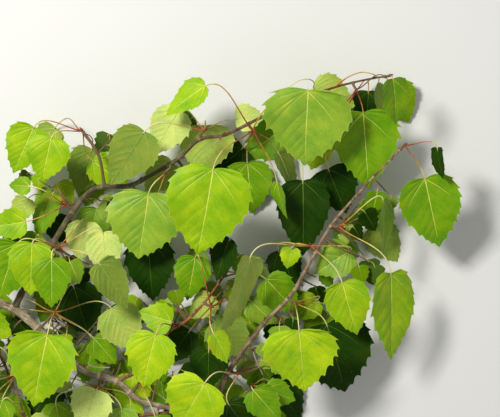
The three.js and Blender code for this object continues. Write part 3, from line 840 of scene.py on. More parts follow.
# %% The leaves of a twig
def leaf_on_twig(line, share, turn):
    """A small leaf for a place on a twig, where it hangs, and its tint."""
    here, near = line.at([share, share - 0.05])
    angle = math.atan2(*(here - near)[1::-1]) + turn
    base = here + between(SMALL_STALK) * np.array([math.cos(angle), math.sin(angle), 0.1])
    heading = math.atan2(math.sin(angle) + HANG * math.sin(HANGING),
                         math.cos(angle) + HANG * math.cos(HANGING)) + SWAY * (random() - 0.5)
    length = between(SMALL_LENGTH)
    roll = SMALL_ROLL * (random() - 0.5) + (180 if random() < TURNED_SHARE else 0)
    width = length * between(SMALL_WIDTH)
    leaf = (base, math.degrees(heading), length, width, (roll, *SMALL_BEND), 6 * random())
    return here, leaf, SMALL_TINTS[int(random() * len(SMALL_TINTS))]


def is_on_top(points):
    """Whether a small leaf would lie on the limbs or the large leaves and hide them."""
    return (ceiling.reshape(-1)[cube_of(points) // CUBES[2]] < points[:, 2]).mean() > ON_TOP


def fill_twig(spur, line, reach):
    """Puts leaves on a twig, left and right in turn. Returns the share up to which it has them."""
    turn, used = math.radians(TWIG_TURN), 0
    for share in TWIG_LEAVES:
        turn = -turn
        here, leaf, tint = leaf_on_twig(line, share, turn if share < 1 else 0)
        samples = Blade(*leaf).samples()[0]
        if (samples < reach[0]).any() or (samples > reach[1]).any() or is_on_top(samples):
            continue
        made = settle(leaf, here, spur["mass"], SMALL_SHIFTS, margin=0, free=is_clear)
        if made:
            used = share
            spur["small"].append((*made, tint))
    return used


# %% Grow them; a twig that gets no leaf is taken back
gaps = enclosed_gaps()
for spur in spurs:
    spur["twigs"], spur["small"] = [], []
    state = SEED + SEED_STEP * spur["mass"] + TWIG_SEED
    reach = reach_of(spur)
    most = TWIGS_PER_GROWN * spur["grown"]
    for _ in range(TWIG_TRIES * most):
        if len(spur["twigs"]) == most:
            break
        end = open_end(gaps, reach)
        grew = grow_twig(spur, end) if end is not None else None
        if not grew:
            continue
        line, (cubes, old) = grew
        used = fill_twig(spur, line, reach)
        if used:
            spur["twigs"].append((line, used))
            gaps = enclosed_gaps()
        else:
            space[cubes] = old
print("fine twigs:", count_of("twigs"), "small leaves:", count_of("small"))

# %% [markdown]
# ## The net of a leaf
#
# A poplar leaf has a pale midrib, a pair of side veins that fan out from the base, and a few
# fainter ones on the way to the tip. Its edge has coarse teeth that lean forward, with round bays
# between them. To get clean veins and a clean edge, the mesh follows them: each row of the net
# starts on the midrib, runs along the veins' own direction, and ends on the edge, five rows to a
# tooth. A vein is then a narrow strip of faces with its own material, which stays sharp from near.
#
# The net has two skins, the upper and the under side, that meet in the edge, so each leaf is a
# closed thin solid. Between the veins both skins swell a little, as on the real leaf. No two leaves
# are alike: teeth, fullness, the bend of the midrib and the curl of the edge all differ.

# %% Sizes of the net, and random numbers for the looks alone
dice = np.random.default_rng(SEED)
VEIN_SLOPE = 1.19
MIDRIB_SHARE = 0.0072
THICKNESS = 0.36
SIDE_VEINS = [(-0.44, -0.21, 0.0, 0.2, 0.36, 0.5, 0.64, 0.77),
              (-0.44, -0.21, 0.0, 0.27, 0.43, 0.57, 0.71, 0.83)]
BASAL_VEIN, BASAL_WIDTH = 2, 1.8
VEIN_TAPER = (0, 0.35, 0.7, 1), (1, 0.75, 0.22, 0.1)
RIM_FROM = 0.982
TOOTH_ROWS = (0, 0.16, 0.36, 0.58, 0.8)
ROW_BOW = 0.16
TOOTH_DEPTH = 0.041
UPPER, VEIN, MIDRIB, UNDER, UNDER_MIDRIB = range(5)


# %% The outline and its teeth
def outline_of(length, width, heart, full):
    """Half the outline, flat: distances along and beside the midrib, by length along the edge."""
    t = np.linspace(0, 1, 500) ** 1.7
    high = np.clip((t - WIDEST_AT) / (1 - WIDEST_AT), 0, 1)
    shape = np.where(t < WIDEST_AT, half_width(t), (1 - high**full) ** 0.95)
    side = shape * width / 2 * (1 - 0.3 * np.exp(-(((1 - t) / 0.06) ** 2)))
    lobe = np.sin(np.pi * np.clip(side / (0.47 * width), 0, 1)) * np.exp(-((t / 0.12) ** 2))
    forward = t * length - heart * length * lobe
    edge = np.concatenate([[0], np.cumsum(np.hypot(np.diff(forward), np.diff(side)))])
    return forward, side, edge / edge[-1]


def teeth_of(count, width):
    """Each row's share of the edge, and how far it stands out there: sharp teeth, round bays."""
    arch = np.sin(np.pi * (np.arange(count) + 1.2) / (count + 1.6)) ** 0.5
    sizes = (0.55 + 0.9 * dice.random(count)) * arch
    ends = 0.05 + 0.93 * np.concatenate([[0], np.cumsum(sizes)]) / sizes.sum()
    deep = TOOTH_DEPTH * width * sizes / sizes.mean() * (0.6 + 0.7 * dice.random(count))
    tooth = np.repeat(np.arange(count), len(TOOTH_ROWS))
    within = np.tile(TOOTH_ROWS, count)
    rows = ends[tooth] + within * (ends[tooth + 1] - ends[tooth])
    out = deep[tooth] * (0.5 - np.sin(np.pi * within**0.7) ** 0.85)
    return np.concatenate([[0.012, 0.03], rows, [0.985, 1]]), np.concatenate([[0, 0], out, [0, 0]])


# %% One half of the net
def tipward_of(way):
    """A way in the plane of the blade, turned a quarter towards the tip."""
    return np.stack([way[:, 1], -way[:, 0]], axis=1)


def half_net(length, width, columns, heart, full, teeth):
    """Flat rows from the midrib to the edge, each row's place, and the row at the shoulder."""
    forward, side, edge = outline_of(length, width, heart, full)
    u, out = teeth_of(teeth, width)
    x, y = np.interp(u, edge, forward), np.interp(u, edge, side)
    q = (x - VEIN_SLOPE * y) / length
    turn = int(np.argmin(q))
    root = 0.5 * (q + np.sqrt(q * q + 0.0016))
    root[:turn] = root[turn] * np.arange(turn) / max(turn, 1)
    root = np.minimum(np.maximum.accumulate(root), 0.985)
    start = np.stack([root * length, MIDRIB_SHARE * length * (1 - 0.85 * root)], axis=1)
    start[-1, 1] = 0
    end = np.stack([x, y], axis=1)

    # A tooth stands out along its own rows, so that they never cross and all teeth lean forward
    aim = unit_rows(end - start + ROW_BOW * tipward_of(end - start))
    edge_way = unit_rows(np.gradient(end, axis=0))
    slant = np.clip(np.abs((aim * tipward_of(edge_way)).sum(axis=1)), 0.5, 1)
    end += aim * (out / slant)[:, None]
    end[:, 1] = np.maximum(end[:, 1], 0)
    end[-1] = length, 0
    way = end - start
    c = columns[None, :, None]
    net = start[:, None] + way[:, None] * c - ROW_BOW * tipward_of(way)[:, None] * c * (1 - c)
    net[-1, :, 1] = 0
    return net, q, turn


def with_veins(net, rows, wide, basal, columns):
    """Puts a pair of close rows where each vein runs, so that the faces between them are it."""
    parts, last = [], len(net) - 1
    taper = np.interp(columns, *VEIN_TAPER)[:, None]
    for i in range(len(net)):
        if i not in rows or i in (0, last):
            parts.append(net[i])
            continue
        half = wide * (BASAL_WIDTH if i == basal else 1.0) * taper / 2
        for other in (i - 1, i + 1):
            way = net[other] - net[i]
            far = np.linalg.norm(way, axis=1, keepdims=True)
            parts.append(net[i] + way / np.maximum(far, 1e-9) * np.minimum(half, 0.4 * far))
    return np.stack(parts)


# %% How each quad of the net is cut in two, so that both skins fold along the same line
def corners_of(grid):
    return [grid[:-1, :-1], grid[:-1, 1:], grid[1:, 1:], grid[1:, :-1]]


def cut_of(flat):
    """Two triangles for each quad, as corner numbers, by the diagonal that keeps both upright."""
    a, b, c, d = corners_of(flat)

    def area(p, q, r):
        return (q - p)[..., 0] * (r - p)[..., 1] - (q - p)[..., 1] * (r - p)[..., 0]

    first = np.minimum(area(a, b, c), area(a, c, d))
    second = np.minimum(area(a, b, d), area(b, c, d))
    return np.where((first >= second)[..., None, None],
                    [[0, 1, 2, 2], [0, 2, 3, 3]], [[0, 1, 3, 3], [1, 2, 3, 3]])


# %% The flat net of a whole leaf: left edge, left half, midrib, right half, right edge
def flat_net(length, width, columns, teeth):
    """Places along and beside the midrib, each row's number, and the rows of each half's veins."""
    heart, full = 0.015 + 0.03 * dice.random(), 1.4 + 0.4 * dice.random()
    halves = [half_net(length, width * (0.97 + 0.05 * dice.random()), columns, heart, full, teeth)
              for _ in range(2)]
    vein_rows = []
    for (_, q, turn), veins in zip(halves, SIDE_VEINS):
        later = np.arange(len(q)) > turn
        vein_rows.append([int(np.argmin(np.where(later, np.abs(q - v), 9))) for v in veins])
    both = {*vein_rows[0], *vein_rows[1]}
    wide = 0.0044 * length + 0.13
    left, right = (with_veins(half[0], both, wide, mine[BASAL_VEIN], columns)
                   for half, mine in zip(halves, vein_rows))
    last = len(halves[0][1]) - 1
    order = [i for i in range(last + 1) for _ in range(2 if i in both and 0 < i < last else 1)]
    centre = (left[:, :1, 0] + right[:, :1, 0]) / 2
    forward = np.hstack([left[:, ::-1, 0], centre, right[:, :, 0]])
    aside = np.hstack([left[:, ::-1, 1], 0 * centre, -right[:, :, 1]])
    return forward, aside, np.array(order), vein_rows


# %% The two skins: bent, curled, swollen between the veins, and ribbed below
RIDGE_TOP, RIDGE_UNDER, KEEL = 0.10, 0.16, 0.011
SWELLING, LONG_WAVE = 0.0085, 0.009


def swell_between(order, mine):
    """How far each row lies between two veins, from 0 on a vein to 1 midway."""
    marks = np.array([0, *sorted(set(mine)), order[-1]])
    near = np.clip(np.searchsorted(marks, order, side="right") - 1, 0, len(marks) - 2)
    share = (order - marks[near]) / np.maximum(marks[near + 1] - marks[near], 1)
    return np.sin(np.pi * np.clip(share, 0, 1))


def skins_of(blade, forward, aside, columns, order, vein_rows):
    """The points of the upper and the under skin."""
    length, width, mid = blade.length, blade.width, len(columns)
    ends = columns[::-1], columns
    none = np.zeros((len(order), 1))
    swell = [swell_between(order, mine) for mine in vein_rows]
    bulge = [np.outer(swell[k], np.sin(np.pi * ends[k]) ** 0.7) for k in (0, 1)]
    puff = np.hstack([bulge[0], none, bulge[1]])
    rib = [np.outer(np.isin(order, vein_rows[k]), 1 - ends[k]) for k in (0, 1)]
    ridge = np.hstack([rib[0], none + 1, rib[1]])
    t = np.clip(forward / length, 0, 1)
    s = np.clip(aside / (np.maximum(half_width(t), 0.35) * width / 2), -1.1, 1.1)
    soft = np.sqrt(aside**2 + 0.6) - 0.77
    curl = 0.03 * (dice.random() - 0.5) * width * s**4 * np.sin(2.3 * t + 3 * dice.random())
    wave = LONG_WAVE * length * np.sin(9.5 * t + 2 * s + blade.phase) * np.abs(s)
    off = blade.lift(t, soft, s) + SWELLING * length * puff + wave + curl
    bow = 0.07 * (dice.random() - 0.5) * length * t**2
    middle = blade.put(forward, aside + bow, off)
    middle[..., 2] = np.maximum(middle[..., 2], GROUND_ROOM + THICKNESS)
    edge = np.hstack([ends[0], [0], ends[1]])
    thick = THICKNESS / 2 * (1 - edge**5)
    upper = middle + np.multiply.outer(thick - RIDGE_TOP * ridge, blade.normal)
    keel = np.zeros(t.shape)
    keel[:, mid] = KEEL * length * (1 - 0.8 * t[:, mid])
    depth = thick + (RIDGE_UNDER * ridge + keel) * (1 - edge**2)
    under = middle - np.multiply.outer(depth, blade.normal)
    under[..., 2] = np.maximum(under[..., 2], GROUND_ROOM)
    return upper, under


# %% The faces of both skins, and what each face is
def kinds_of(shape, order, vein_rows, fade):
    """Which quads of the upper skin are blade, vein or midrib."""
    rows, columns = shape
    mid = columns // 2
    kind = np.full((rows - 1, columns - 1), UPPER)
    for k in np.flatnonzero(order[:-1] == order[1:]):
        for mine, whole, basal in ((vein_rows[0], slice(1, mid - 1), slice(fade, mid - 1)),
                                   (vein_rows[1], slice(mid + 1, -1), slice(mid + 1, -fade))):
            if order[k] in mine:
                kind[k, whole] = VEIN
            if order[k] == mine[BASAL_VEIN]:
                kind[k, basal] = MIDRIB
    kind[:, mid - 1:mid + 1] = MIDRIB
    kind[-4:, mid - 1:mid + 1] = VEIN
    kind[:, [0, -1]] = VEIN
    return kind


def leaf_mesh(blade, column_count, teeth):
    """A large leaf as points, faces and each face's kind."""
    columns = np.insert(np.linspace(0, 1, column_count + 1) ** 0.9, column_count, RIM_FROM)
    forward, aside, order, vein_rows = flat_net(blade.length, blade.width, columns, teeth)
    upper, under = skins_of(blade, forward, aside, columns, order, vein_rows)
    kind = kinds_of(forward.shape, order, vein_rows, column_count // 3 + 1)

    # The two skins share the points of the edge, and the halves share those of the tip
    mid = len(columns)
    top = np.arange(forward.size).reshape(forward.shape)
    bottom = forward.size + top
    bottom[:, 0], bottom[:, -1] = top[:, 0], top[:, -1]
    for skin in (top, bottom):
        skin[-1, mid + 1:] = skin[-1, :mid][::-1]
        skin[-1, mid] = skin[-1, mid - 1] = skin[-1, mid + 1]
    faces, kinds = [], []
    cuts = cut_of(np.stack([forward, aside], axis=-1))
    for skin, flip in ((top, False), (bottom, True)):
        corners = np.stack(corners_of(skin), axis=-1)[..., None, :]
        split = np.take_along_axis(corners, cuts, axis=-1)
        faces.append((split[..., ::-1] if flip else split).reshape(-1, 4))
        kinds.append((np.where(kind == UPPER, UNDER, UNDER_MIDRIB) if flip else kind).repeat(2))
    base = np.stack([top[0, :-1], bottom[0, :-1], bottom[0, 1:], top[0, 1:]], axis=-1)
    faces.append(base)
    kinds.append(np.full(len(base), VEIN))
    points = np.vstack([upper.reshape(-1, 3), under.reshape(-1, 3)])
    return points, np.vstack(faces), np.concatenate(kinds)


# %% [markdown]
# ## Small leaves, tubes and joined pieces
#
# A small leaf fills a gap behind the large ones, so it keeps only its outline, four teeth a side
# and its midrib, in a few dozen faces. Stalks, spurs and twigs are round and bend, so each is a
# closed tube of a few sides along its line. Hundreds of separate objects would be slow to handle,
# and an exported model drops instances, so the parts of a kind are joined from arrays into one mesh.

# %% A small leaf: the same outline with four teeth a side, in a few dozen faces
SMALL_ROWS = np.array([0.015, 0.10, 0.2, 0.33, 0.43, 0.56, 0.66, 0.79, 0.87, 1.0])
SMALL_TEETH = np.array([1, 0.98, 1.09, 0.9, 1.08, 0.86, 1.05, 0.82, 0.95, 1])


def small_leaf(blade):
    n = len(SMALL_ROWS)
    t = SMALL_ROWS + 0.012 * (dice.random(n) - 0.5)
    t[-1] = 1
    half = half_width(t) * SMALL_TEETH * blade.width / 2
    narrow = 0.02 * blade.length * (1 - t)
    lines = []
    for side in (half, narrow, -narrow, -half, 0 * t):
        off = blade.lift(t, np.abs(side), side / blade.width)
        lines.append(blade.put(t * blade.length, side, off))
    for line, shift in zip(lines, (0, 0.14, 0.14, 0, -0.2)):
        line += shift * blade.normal
        line[:, 2] = np.maximum(line[:, 2], GROUND_ROOM + 0.1 + 0.3 * shift)
    index = np.arange(5 * n).reshape(5, n)
    index[:, -1] = index[0, -1]
    a, b, c, d, keel = index
    faces, kinds = [], []
    strips = (a, b, UPPER), (b, c, MIDRIB), (c, d, UPPER), (d, keel, UNDER), (keel, a, UNDER)
    for one, two, what in strips:
        faces.append(np.stack([one[:-1], two[:-1], two[1:], one[1:]], axis=-1))
        kinds.append(np.full(n - 1, what))
    faces.append(np.array([[a[0], keel[0], c[0], b[0]], [keel[0], d[0], c[0], c[0]]]))
    kinds.append(np.full(2, VEIN))
    return np.vstack(lines), np.vstack(faces), np.concatenate(kinds)


# %% Joining many small meshes into one piece
SMOOTH_BELOW = math.radians(38)


def clean_faces(faces):
    """Turns a quad with a repeated corner into a triangle, and drops what has no area."""
    out, keep = [], []
    for i, face in enumerate(faces.tolist()):
        ring = [v for k, v in enumerate(face) if v != face[k - 1]]
        if len(set(ring)) == len(ring) > 2:
            out.append(ring)
            keep.append(i)
    return out, keep


def join_piece(name, parts, materials, nodes):
    """One object from many parts, each given as points, faces and each face's material number."""
    points, faces, kinds, first = [], [], [], 0
    for part_points, part_faces, part_kinds in parts:
        rings, keep = clean_faces(part_faces)
        used = sorted({v for ring in rings for v in ring})
        number = dict(zip(used, range(first, first + len(used))))
        points.append(part_points[used])
        faces += [[number[v] for v in ring] for ring in rings]
        kinds.append(np.asarray(part_kinds)[keep])
        first += len(used)
    mesh = bpy.data.meshes.new(name)
    mesh.from_pydata(to_frame(np.vstack(points)).tolist(), [], faces)
    mesh.polygons.foreach_set("material_index", np.concatenate(kinds).astype(np.int32))
    for material in materials:
        mesh.materials.append(material)
    piece = bpy.data.objects.new(name, mesh)
    scene.collection.objects.link(piece)
    bpy.ops.object.select_all(action="DESELECT")
    piece.select_set(True)
    bpy.context.view_layer.objects.active = piece
    bpy.ops.object.shade_smooth_by_angle(angle=SMOOTH_BELOW)
    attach(piece, "root")
    if nodes:
        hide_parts(*nodes)
    print(name, "has", sum(len(f) - 2 for f in faces), "triangles")


# %% Tubes for stalks, spurs and twigs
def tube(points, radii, sides, kinds):
    """A closed tube round a line of points, with a radius at each and a kind for each stretch."""
    ways = unit_rows(np.gradient(points, axis=0))
    side = unit(np.cross(ways[0], (0, 0, 1) if abs(ways[0][2]) < 0.9 else (1, 0, 0)))
    angles = 2 * np.pi * np.arange(sides) / sides
    rings = []
    for p, way, radius in zip(points, ways, radii):
        side = unit(side - way * (side @ way))
        up = np.cross(way, side)
        rings.append(p + radius * (np.outer(np.cos(angles), side) + np.outer(np.sin(angles), up)))
    n = len(points)
    verts = np.vstack([*rings, points[:1], points[-1:]])
    verts[:, 2] = np.maximum(verts[:, 2], GROUND_ROOM)
    ring = np.arange(n * sides).reshape(n, sides)
    after = np.roll(ring, -1, axis=1)
    walls = np.stack([ring[:-1], after[:-1], after[1:], ring[1:]], axis=-1).reshape(-1, 4)
    caps = [[n * sides, after[0][k], ring[0][k], ring[0][k]] for k in range(sides)]
    caps += [[n * sides + 1, ring[-1][k], after[-1][k], after[-1][k]] for k in range(sides)]
    return verts, np.vstack([walls, caps]), np.repeat([*kinds, kinds[0], kinds[-1]], sides)


# %% [markdown]
# ## Shared effects
#
# The leaves, stalks and bark need the same few effects again and again, so each effect is a node
# group that is built once and put into every material with its own values. All of them read
# Object coordinates, in metres, so a pattern keeps its real scale: broad patches of 15 mm or so
# where a blade is lighter or darker, specks of 2 mm, and the net of the finest veins with meshes of
# 1.5 mm. The groups give out colours, masks and heights only; the shader stays in each material.


# %% Helpers for nodes
def linear(colour):
    """A colour as a screen shows it, 0 to 255, as the light values that a shader needs."""
    shares = [c / 255 for c in colour]
    return (*[s / 12.92 if s <= 0.04045 else ((s + 0.055) / 1.055) ** 2.4 for s in shares], 1)


class Nodes:
    """Adds shader nodes to one tree."""

    def __init__(self, tree):
        self.tree = tree

    def give(self, socket, value):
        """Sets a socket to a value, or links another node's output to it."""
        if isinstance(value, bpy.types.NodeSocket):
            self.tree.links.new(value, socket)
        else:
            socket.default_value = value

    def add(self, kind, inputs, **settings):
        made = self.tree.nodes.new("ShaderNode" + kind)
        for key, value in settings.items():
            setattr(made, key, value)
        for key, value in inputs.items():
            self.give(made.inputs[key], value)
        return made

    def math(self, operation, *values):
        return self.add("Math", dict(enumerate(values)), operation=operation).outputs[0]

    def range(self, value, low, high, to_low=0, to_high=1):
        labels = ("Value", "From Min", "From Max", "To Min", "To Max")
        inputs = dict(zip(labels, (value, low, high, to_low, to_high)))
        return self.add("MapRange", inputs).outputs["Result"]

    def noise(self, place, scale, detail):
        inputs = {"Vector": place, "Scale": scale, "Detail": detail}
        return self.add("TexNoise", inputs).outputs["Fac"]

    def blend(self, share, first, second):
        """The first colour where share is 0, the second where it is 1."""
        return self.add("Mix", {0: share, 6: first, 7: second}, data_type="RGBA").outputs[2]


def new_group(name, inputs, outputs):
    """An empty node group with named sockets, what it is given, and what it gives."""
    tree = bpy.data.node_groups.new(name, "ShaderNodeTree")
    for label, kind, value in inputs:
        socket = tree.interface.new_socket(label, in_out="INPUT", socket_type="NodeSocket" + kind)
        socket.default_value = value
    for label, kind in outputs:
        tree.interface.new_socket(label, in_out="OUTPUT", socket_type="NodeSocket" + kind)
    given = tree.nodes.new("NodeGroupInput").outputs
    gives = tree.nodes.new("NodeGroupOutput").inputs
    return Nodes(tree), given, gives


# %% The skin of a leaf
PATCH_SCALE, SPECK_SCALE, NET_SCALE, SPOT_SCALE = 60, 480, 650, 75
SPOT_SIZE, RARE_SPOT, SPOT_STRENGTH = 0.055, 0.66, 0.7
YELLOWER, BLUER = 0.516, 0.484
skin, given, gives = new_group(
    "leaf_skin",
    [("Colour", "Color", (0.2, 0.4, 0.02, 1)), ("Spot Colour", "Color", (0.5, 0.4, 0.08, 1)),
     ("Patches", "Float", 0.2), ("Specks", "Float", 0.15)],
    [("Colour", "Color"), ("Gloss", "Float"), ("Height", "Float")])
place = skin.add("TexCoord", {}).outputs["Object"]
patches = skin.noise(place, PATCH_SCALE, 2)
specks = skin.noise(place, SPECK_SCALE, 3)
cells = skin.add("TexVoronoi", {"Vector": place, "Scale": NET_SCALE}, feature="DISTANCE_TO_EDGE")
fine_net = skin.range(cells.outputs["Distance"], 0.0, 0.14, 1, 0)
dots = skin.add("TexVoronoi", {"Vector": place, "Scale": SPOT_SCALE}).outputs
is_dot = skin.math("LESS_THAN", dots["Distance"], SPOT_SIZE)
is_rare = skin.math("GREATER_THAN", dots["Color"], RARE_SPOT)
spot = skin.math("MULTIPLY", skin.math("MULTIPLY", is_dot, is_rare), SPOT_STRENGTH)
light = skin.math("MULTIPLY_ADD", skin.math("SUBTRACT", patches, 0.5), given["Patches"], 1.0)
light = skin.math("MULTIPLY_ADD", skin.math("SUBTRACT", specks, 0.5), given["Specks"], light)
light = skin.math("MULTIPLY_ADD", fine_net, 0.07, light)
hue = skin.range(patches, 0.3, 0.7, YELLOWER, BLUER)
toned = skin.add("HueSaturation", {"Hue": hue, "Value": light, "Color": given["Colour"]})
skin.give(gives["Colour"], skin.blend(spot, toned.outputs["Color"], given["Spot Colour"]))
skin.give(gives["Gloss"], skin.math("MULTIPLY_ADD", specks, 0.5, patches))
skin.give(gives["Height"], skin.math("MULTIPLY_ADD", fine_net, -0.35, specks))
leaf_skin = skin.tree
print("group", leaf_skin.name, "has", len(leaf_skin.nodes), "nodes")


# %% A material that reads such a group, and one for a side of a blade, or for its veins
def new_material(name):
    """An empty material, its nodes, and its shader's inputs."""
    material = bpy.data.materials.new(name)
    material.use_nodes = True
    tree = material.node_tree
    return material, Nodes(tree), tree.nodes["Principled BSDF"].inputs


def material_of(name, group, values, shine, rough, relief, depth):
    """Its gloss is spread over a range of roughness, and its height is a bump."""
    material, nodes, shader = new_material(name)
    skin = nodes.add("Group", values, node_tree=group).outputs
    shader["Specular IOR Level"].default_value = shine
    bump = nodes.add("Bump", {"Strength": relief, "Distance": depth, "Height": skin["Height"]})
    nodes.give(shader["Base Color"], skin["Colour"])
    nodes.give(shader["Roughness"], nodes.range(skin["Gloss"], *rough))
    nodes.give(shader["Normal"], bump.outputs["Normal"])
    return material


def leaf_material(name, colour, shine=0.2, rough=(0.38, 0.54), relief=0.28, patches=0.65,
                  specks=0.4):
    paler = [0.5 * c + 100 for c in colour]
    values = {"Colour": linear(colour), "Spot Colour": linear(paler),
              "Patches": patches, "Specks": specks}
    return material_of(name, leaf_skin, values, shine, (0.5, 1.0, *rough), relief, 0.5 * MM)


# %% [markdown]
# ## The tints of the leaves
#
# The tints paint light into the colour of the leaves. Leaves that stood in the sun get a strong
# yellow-green, and the brightest a lemon one, a painted sunlight; those deep inside get a dark
# green, a painted shade; mid, olive and glossy lie between. The under side is paler, greyer and
# duller than the upper side. Each leaf has one of six tints, dealt out in the tables or by the
# rule, and all leaves of a tint are one piece.

# %% Tints: upper side, side veins, under side, and how strongly the upper side shines
TINTS = {
    # sunlit and lemon: the leaf's own green lifted, a painted sunlight
    "sunlit": ((144, 184, 8), (168, 198, 44), (146, 174, 66), 0.22),
    "lemon": ((166, 202, 14), (184, 212, 56), (206, 224, 120), 0.22),
    "mid": ((112, 158, 6), (138, 174, 38), (130, 158, 58), 0.18),
    "glossy": ((136, 174, 36), (158, 190, 66), (172, 194, 84), 0.5),
    "olive": ((112, 152, 6), (136, 168, 34), (126, 150, 54), 0.15),
    # shade: the leaf's own green darkened, a painted shade
    "shade": ((32, 62, 4), (52, 84, 14), (72, 100, 28), 0.08),
}
MIDRIBS = {
    "light": ((212, 218, 108), (206, 214, 136)),
    "deep": ((140, 166, 56), (150, 170, 84)),
    # Shade leaves get darker midribs as well, a painted shade.
    "dim": ((84, 116, 36), (110, 134, 62)),
}
midribs = {tone: [leaf_material(side + tone, colour, relief=0.15)
                  for side, colour in zip(("midrib_", "under_midrib_"), colours)]
           for tone, colours in MIDRIBS.items()}
tint_materials = {}
for tint, (upper, vein, under, shine) in TINTS.items():
    above, below = midribs[{"shade": "dim", "olive": "deep"}.get(tint, "light")]
    tint_materials[tint] = [
        leaf_material(tint + "_upper", upper, shine),
        leaf_material(tint + "_vein", vein, shine), above,
        leaf_material(tint + "_under", under, 0.15, rough=(0.6, 0.8), patches=0.3), below]
print("tints:", list(tint_materials))

# %% Make the large leaves
# Grown leaves lie low under the others, so most get the darker tints, a painted shade.
GROWN_TINTS = ("shade", "olive", "mid", "shade", "mid", "olive", "sunlit", "glossy")
TEETH = ((60, 11, 6), (40, 9, 5), (0, 7, 5))
by_tint = {tint: [] for tint in TINTS}
masses_of = {tint: set() for tint in TINTS}
grown = 0
for size, spur in [(size, spur) for size in ("made", "second") for spur in spurs]:
    for blade, curve, tint in spur[size]:
        if tint == "grown":
            tint = GROWN_TINTS[grown % len(GROWN_TINTS)]
            grown += 1
        teeth, across = next(counts for longer, *counts in TEETH if blade.length > longer)
        by_tint[tint].append(leaf_mesh(blade, across, teeth))
        masses_of[tint].add("foliage_" + spur["name"])
for tint, parts in by_tint.items():
    join_piece("leaves_" + tint, parts, tint_materials[tint], sorted(masses_of[tint]))

# %% Make the small leaves
for tint in TINTS:
    small = [leaf for spur in spurs for leaf in spur["small"]]
    parts = [small_leaf(blade) for blade, _, mine in small if mine == tint]
    if parts:
        join_piece("small_leaves_" + tint, parts, tint_materials[tint], [])

# %% [markdown]
# ## Stalks, spurs and fine twigs
#
# A poplar's leaf stalk is long and slim, red-brown where it leaves the spur and pale yellow-green
# near the blade; its straw and pale tones are lifted towards cream, partly a painted highlight of
# sunlit stalks. The spur itself is knobby grey-brown wood, ringed with the scars of old leaves.
# All of them are tubes along the curves that the rule made, joined into three pieces by kind.


# %% Materials of stalks and young wood
def stem_material(name, colour, rough=(0.35, 0.55)):
    return leaf_material(name, colour, 0.4, rough, relief=0.2, patches=0.6, specks=0.5)


# The straw and pale tones are lifted towards cream, partly a painted highlight of sunlit stalks.
stalk_tones = [stem_material("stalk_" + name, colour) for name, colour in (
    ("russet", (146, 62, 34)), ("copper", (172, 102, 48)), ("amber", (188, 144, 62)),
    ("straw", (212, 190, 108)), ("pale", (222, 216, 150)))]
RUSSET, COPPER, AMBER, STRAW, PALE = range(5)
wood_tones = [stem_material("young_" + name, colour, (0.55, 0.8)) for name, colour in (
    ("wood", (116, 92, 64)), ("bud", (116, 66, 38)), ("dead", (178, 160, 128)))]
WOOD, BUD, DEAD = range(3)
print("stalk and wood tones:", [m.name for m in stalk_tones + wood_tones])

# %% Leaf stalks: red at the foot on some spurs, paler on others, thin where they meet the blade
STALK_SLIM, FOOT_SWELL, END_SWELL = 0.58, 0.45, 0.12
REDDISH = {"crown_tip", "crown_red", "crown_green", "red_twig", "right_tip", "centre",
           "centre_red", "shade"}
STALK_STEPS = 22

# Two stalks rise in high arches beside their neighbours: the leaf's base, and the points on the way
ARCHED = {
    (64, 120): [(5, 83, 73), (14, 97, 78), (33, 115, 84), (48, 126, 87), (58, 127.5, 83),
                (63.5, 125, 73)],
    (129, 126): [(86, 122, 68), (97, 130, 76), (110, 134.5, 80), (121, 133, 77), (127.5, 130, 69)],
}


def route_of(blade, curve):
    """The stalk's line: the curve that the rule gave, or one of the high arches."""
    via = ARCHED.get(tuple(blade.base[:2]))
    if not via:
        return curve, STALK_LAP / np.linalg.norm(3 * (curve.points[3] - curve.points[2]))
    foot = [] if via[0][0] > 80 else [curve.points[0]]
    points = [*foot, *via, blade.base, blade.base + STALK_LAP * blade.along]
    return Spline(points), 1 / (len(points) - 1)


def stalk_tube(curve, lap, first_tone):
    ending = [1 - 0.6 * lap, 1 - 0.25 * lap, 1]
    shares = np.concatenate([np.linspace(0, 1 - lap, STALK_STEPS - 2), ending])
    radii = STALK_SLIM + FOOT_SWELL * np.exp(-shares * 14) + END_SWELL * np.exp(-((1 - shares) * 9))
    radii *= np.minimum(1, 0.2 + 0.8 * (1 - shares) / lap)
    pale_from = (0.95 if first_tone == RUSSET else 0.5) + 0.45 * dice.random()
    tones = first_tone + (PALE + 0.99 - first_tone) * shares[:-1] / pale_from
    return tube(curve.at(shares), radii, 8, np.minimum(tones, PALE).astype(int))


stalks = []
SMALL_RADII = [0.55, *[0.36] * 5, 0.15]
SMALL_TONES = [COPPER, AMBER, AMBER, STRAW, PALE, PALE]
for spur in spurs:
    for blade, curve, _ in spur["made"] + spur["second"]:
        line, lap = route_of(blade, curve)
        is_red = spur["name"] in REDDISH and line is curve
        stalks.append(stalk_tube(line, lap, RUSSET if is_red else COPPER + 0.7 * dice.random()))
    for _, curve, _ in spur["small"]:
        places = curve.at(np.linspace(0, 1, len(SMALL_RADII)))
        stalks.append(tube(places, SMALL_RADII, 5, SMALL_TONES))
every_mass = ["foliage_" + s["name"] for s in spurs]
join_piece("leaf_stalks", stalks, stalk_tones, every_mass)


# %% Spurs with their scars, and a bud at each tip
def bud(place, way, length):
    """A pointed bud."""
    shares = np.array([0, 0.15, 0.35, 0.6, 0.85, 1])
    radii = length * np.array([0.16, 0.24, 0.27, 0.2, 0.1, 0.03])
    return tube(place + np.outer(shares, way) * length, radii, 8, [BUD] * 5)


def rooted(points, radii, depth):
    """Lets a tube start inside the wood that it grows from, with no gap at its foot."""
    back = unit(points[0] - points[1])
    return np.vstack([points[0] + depth * back, points]), np.concatenate([[0.9 * radii[0]], radii])


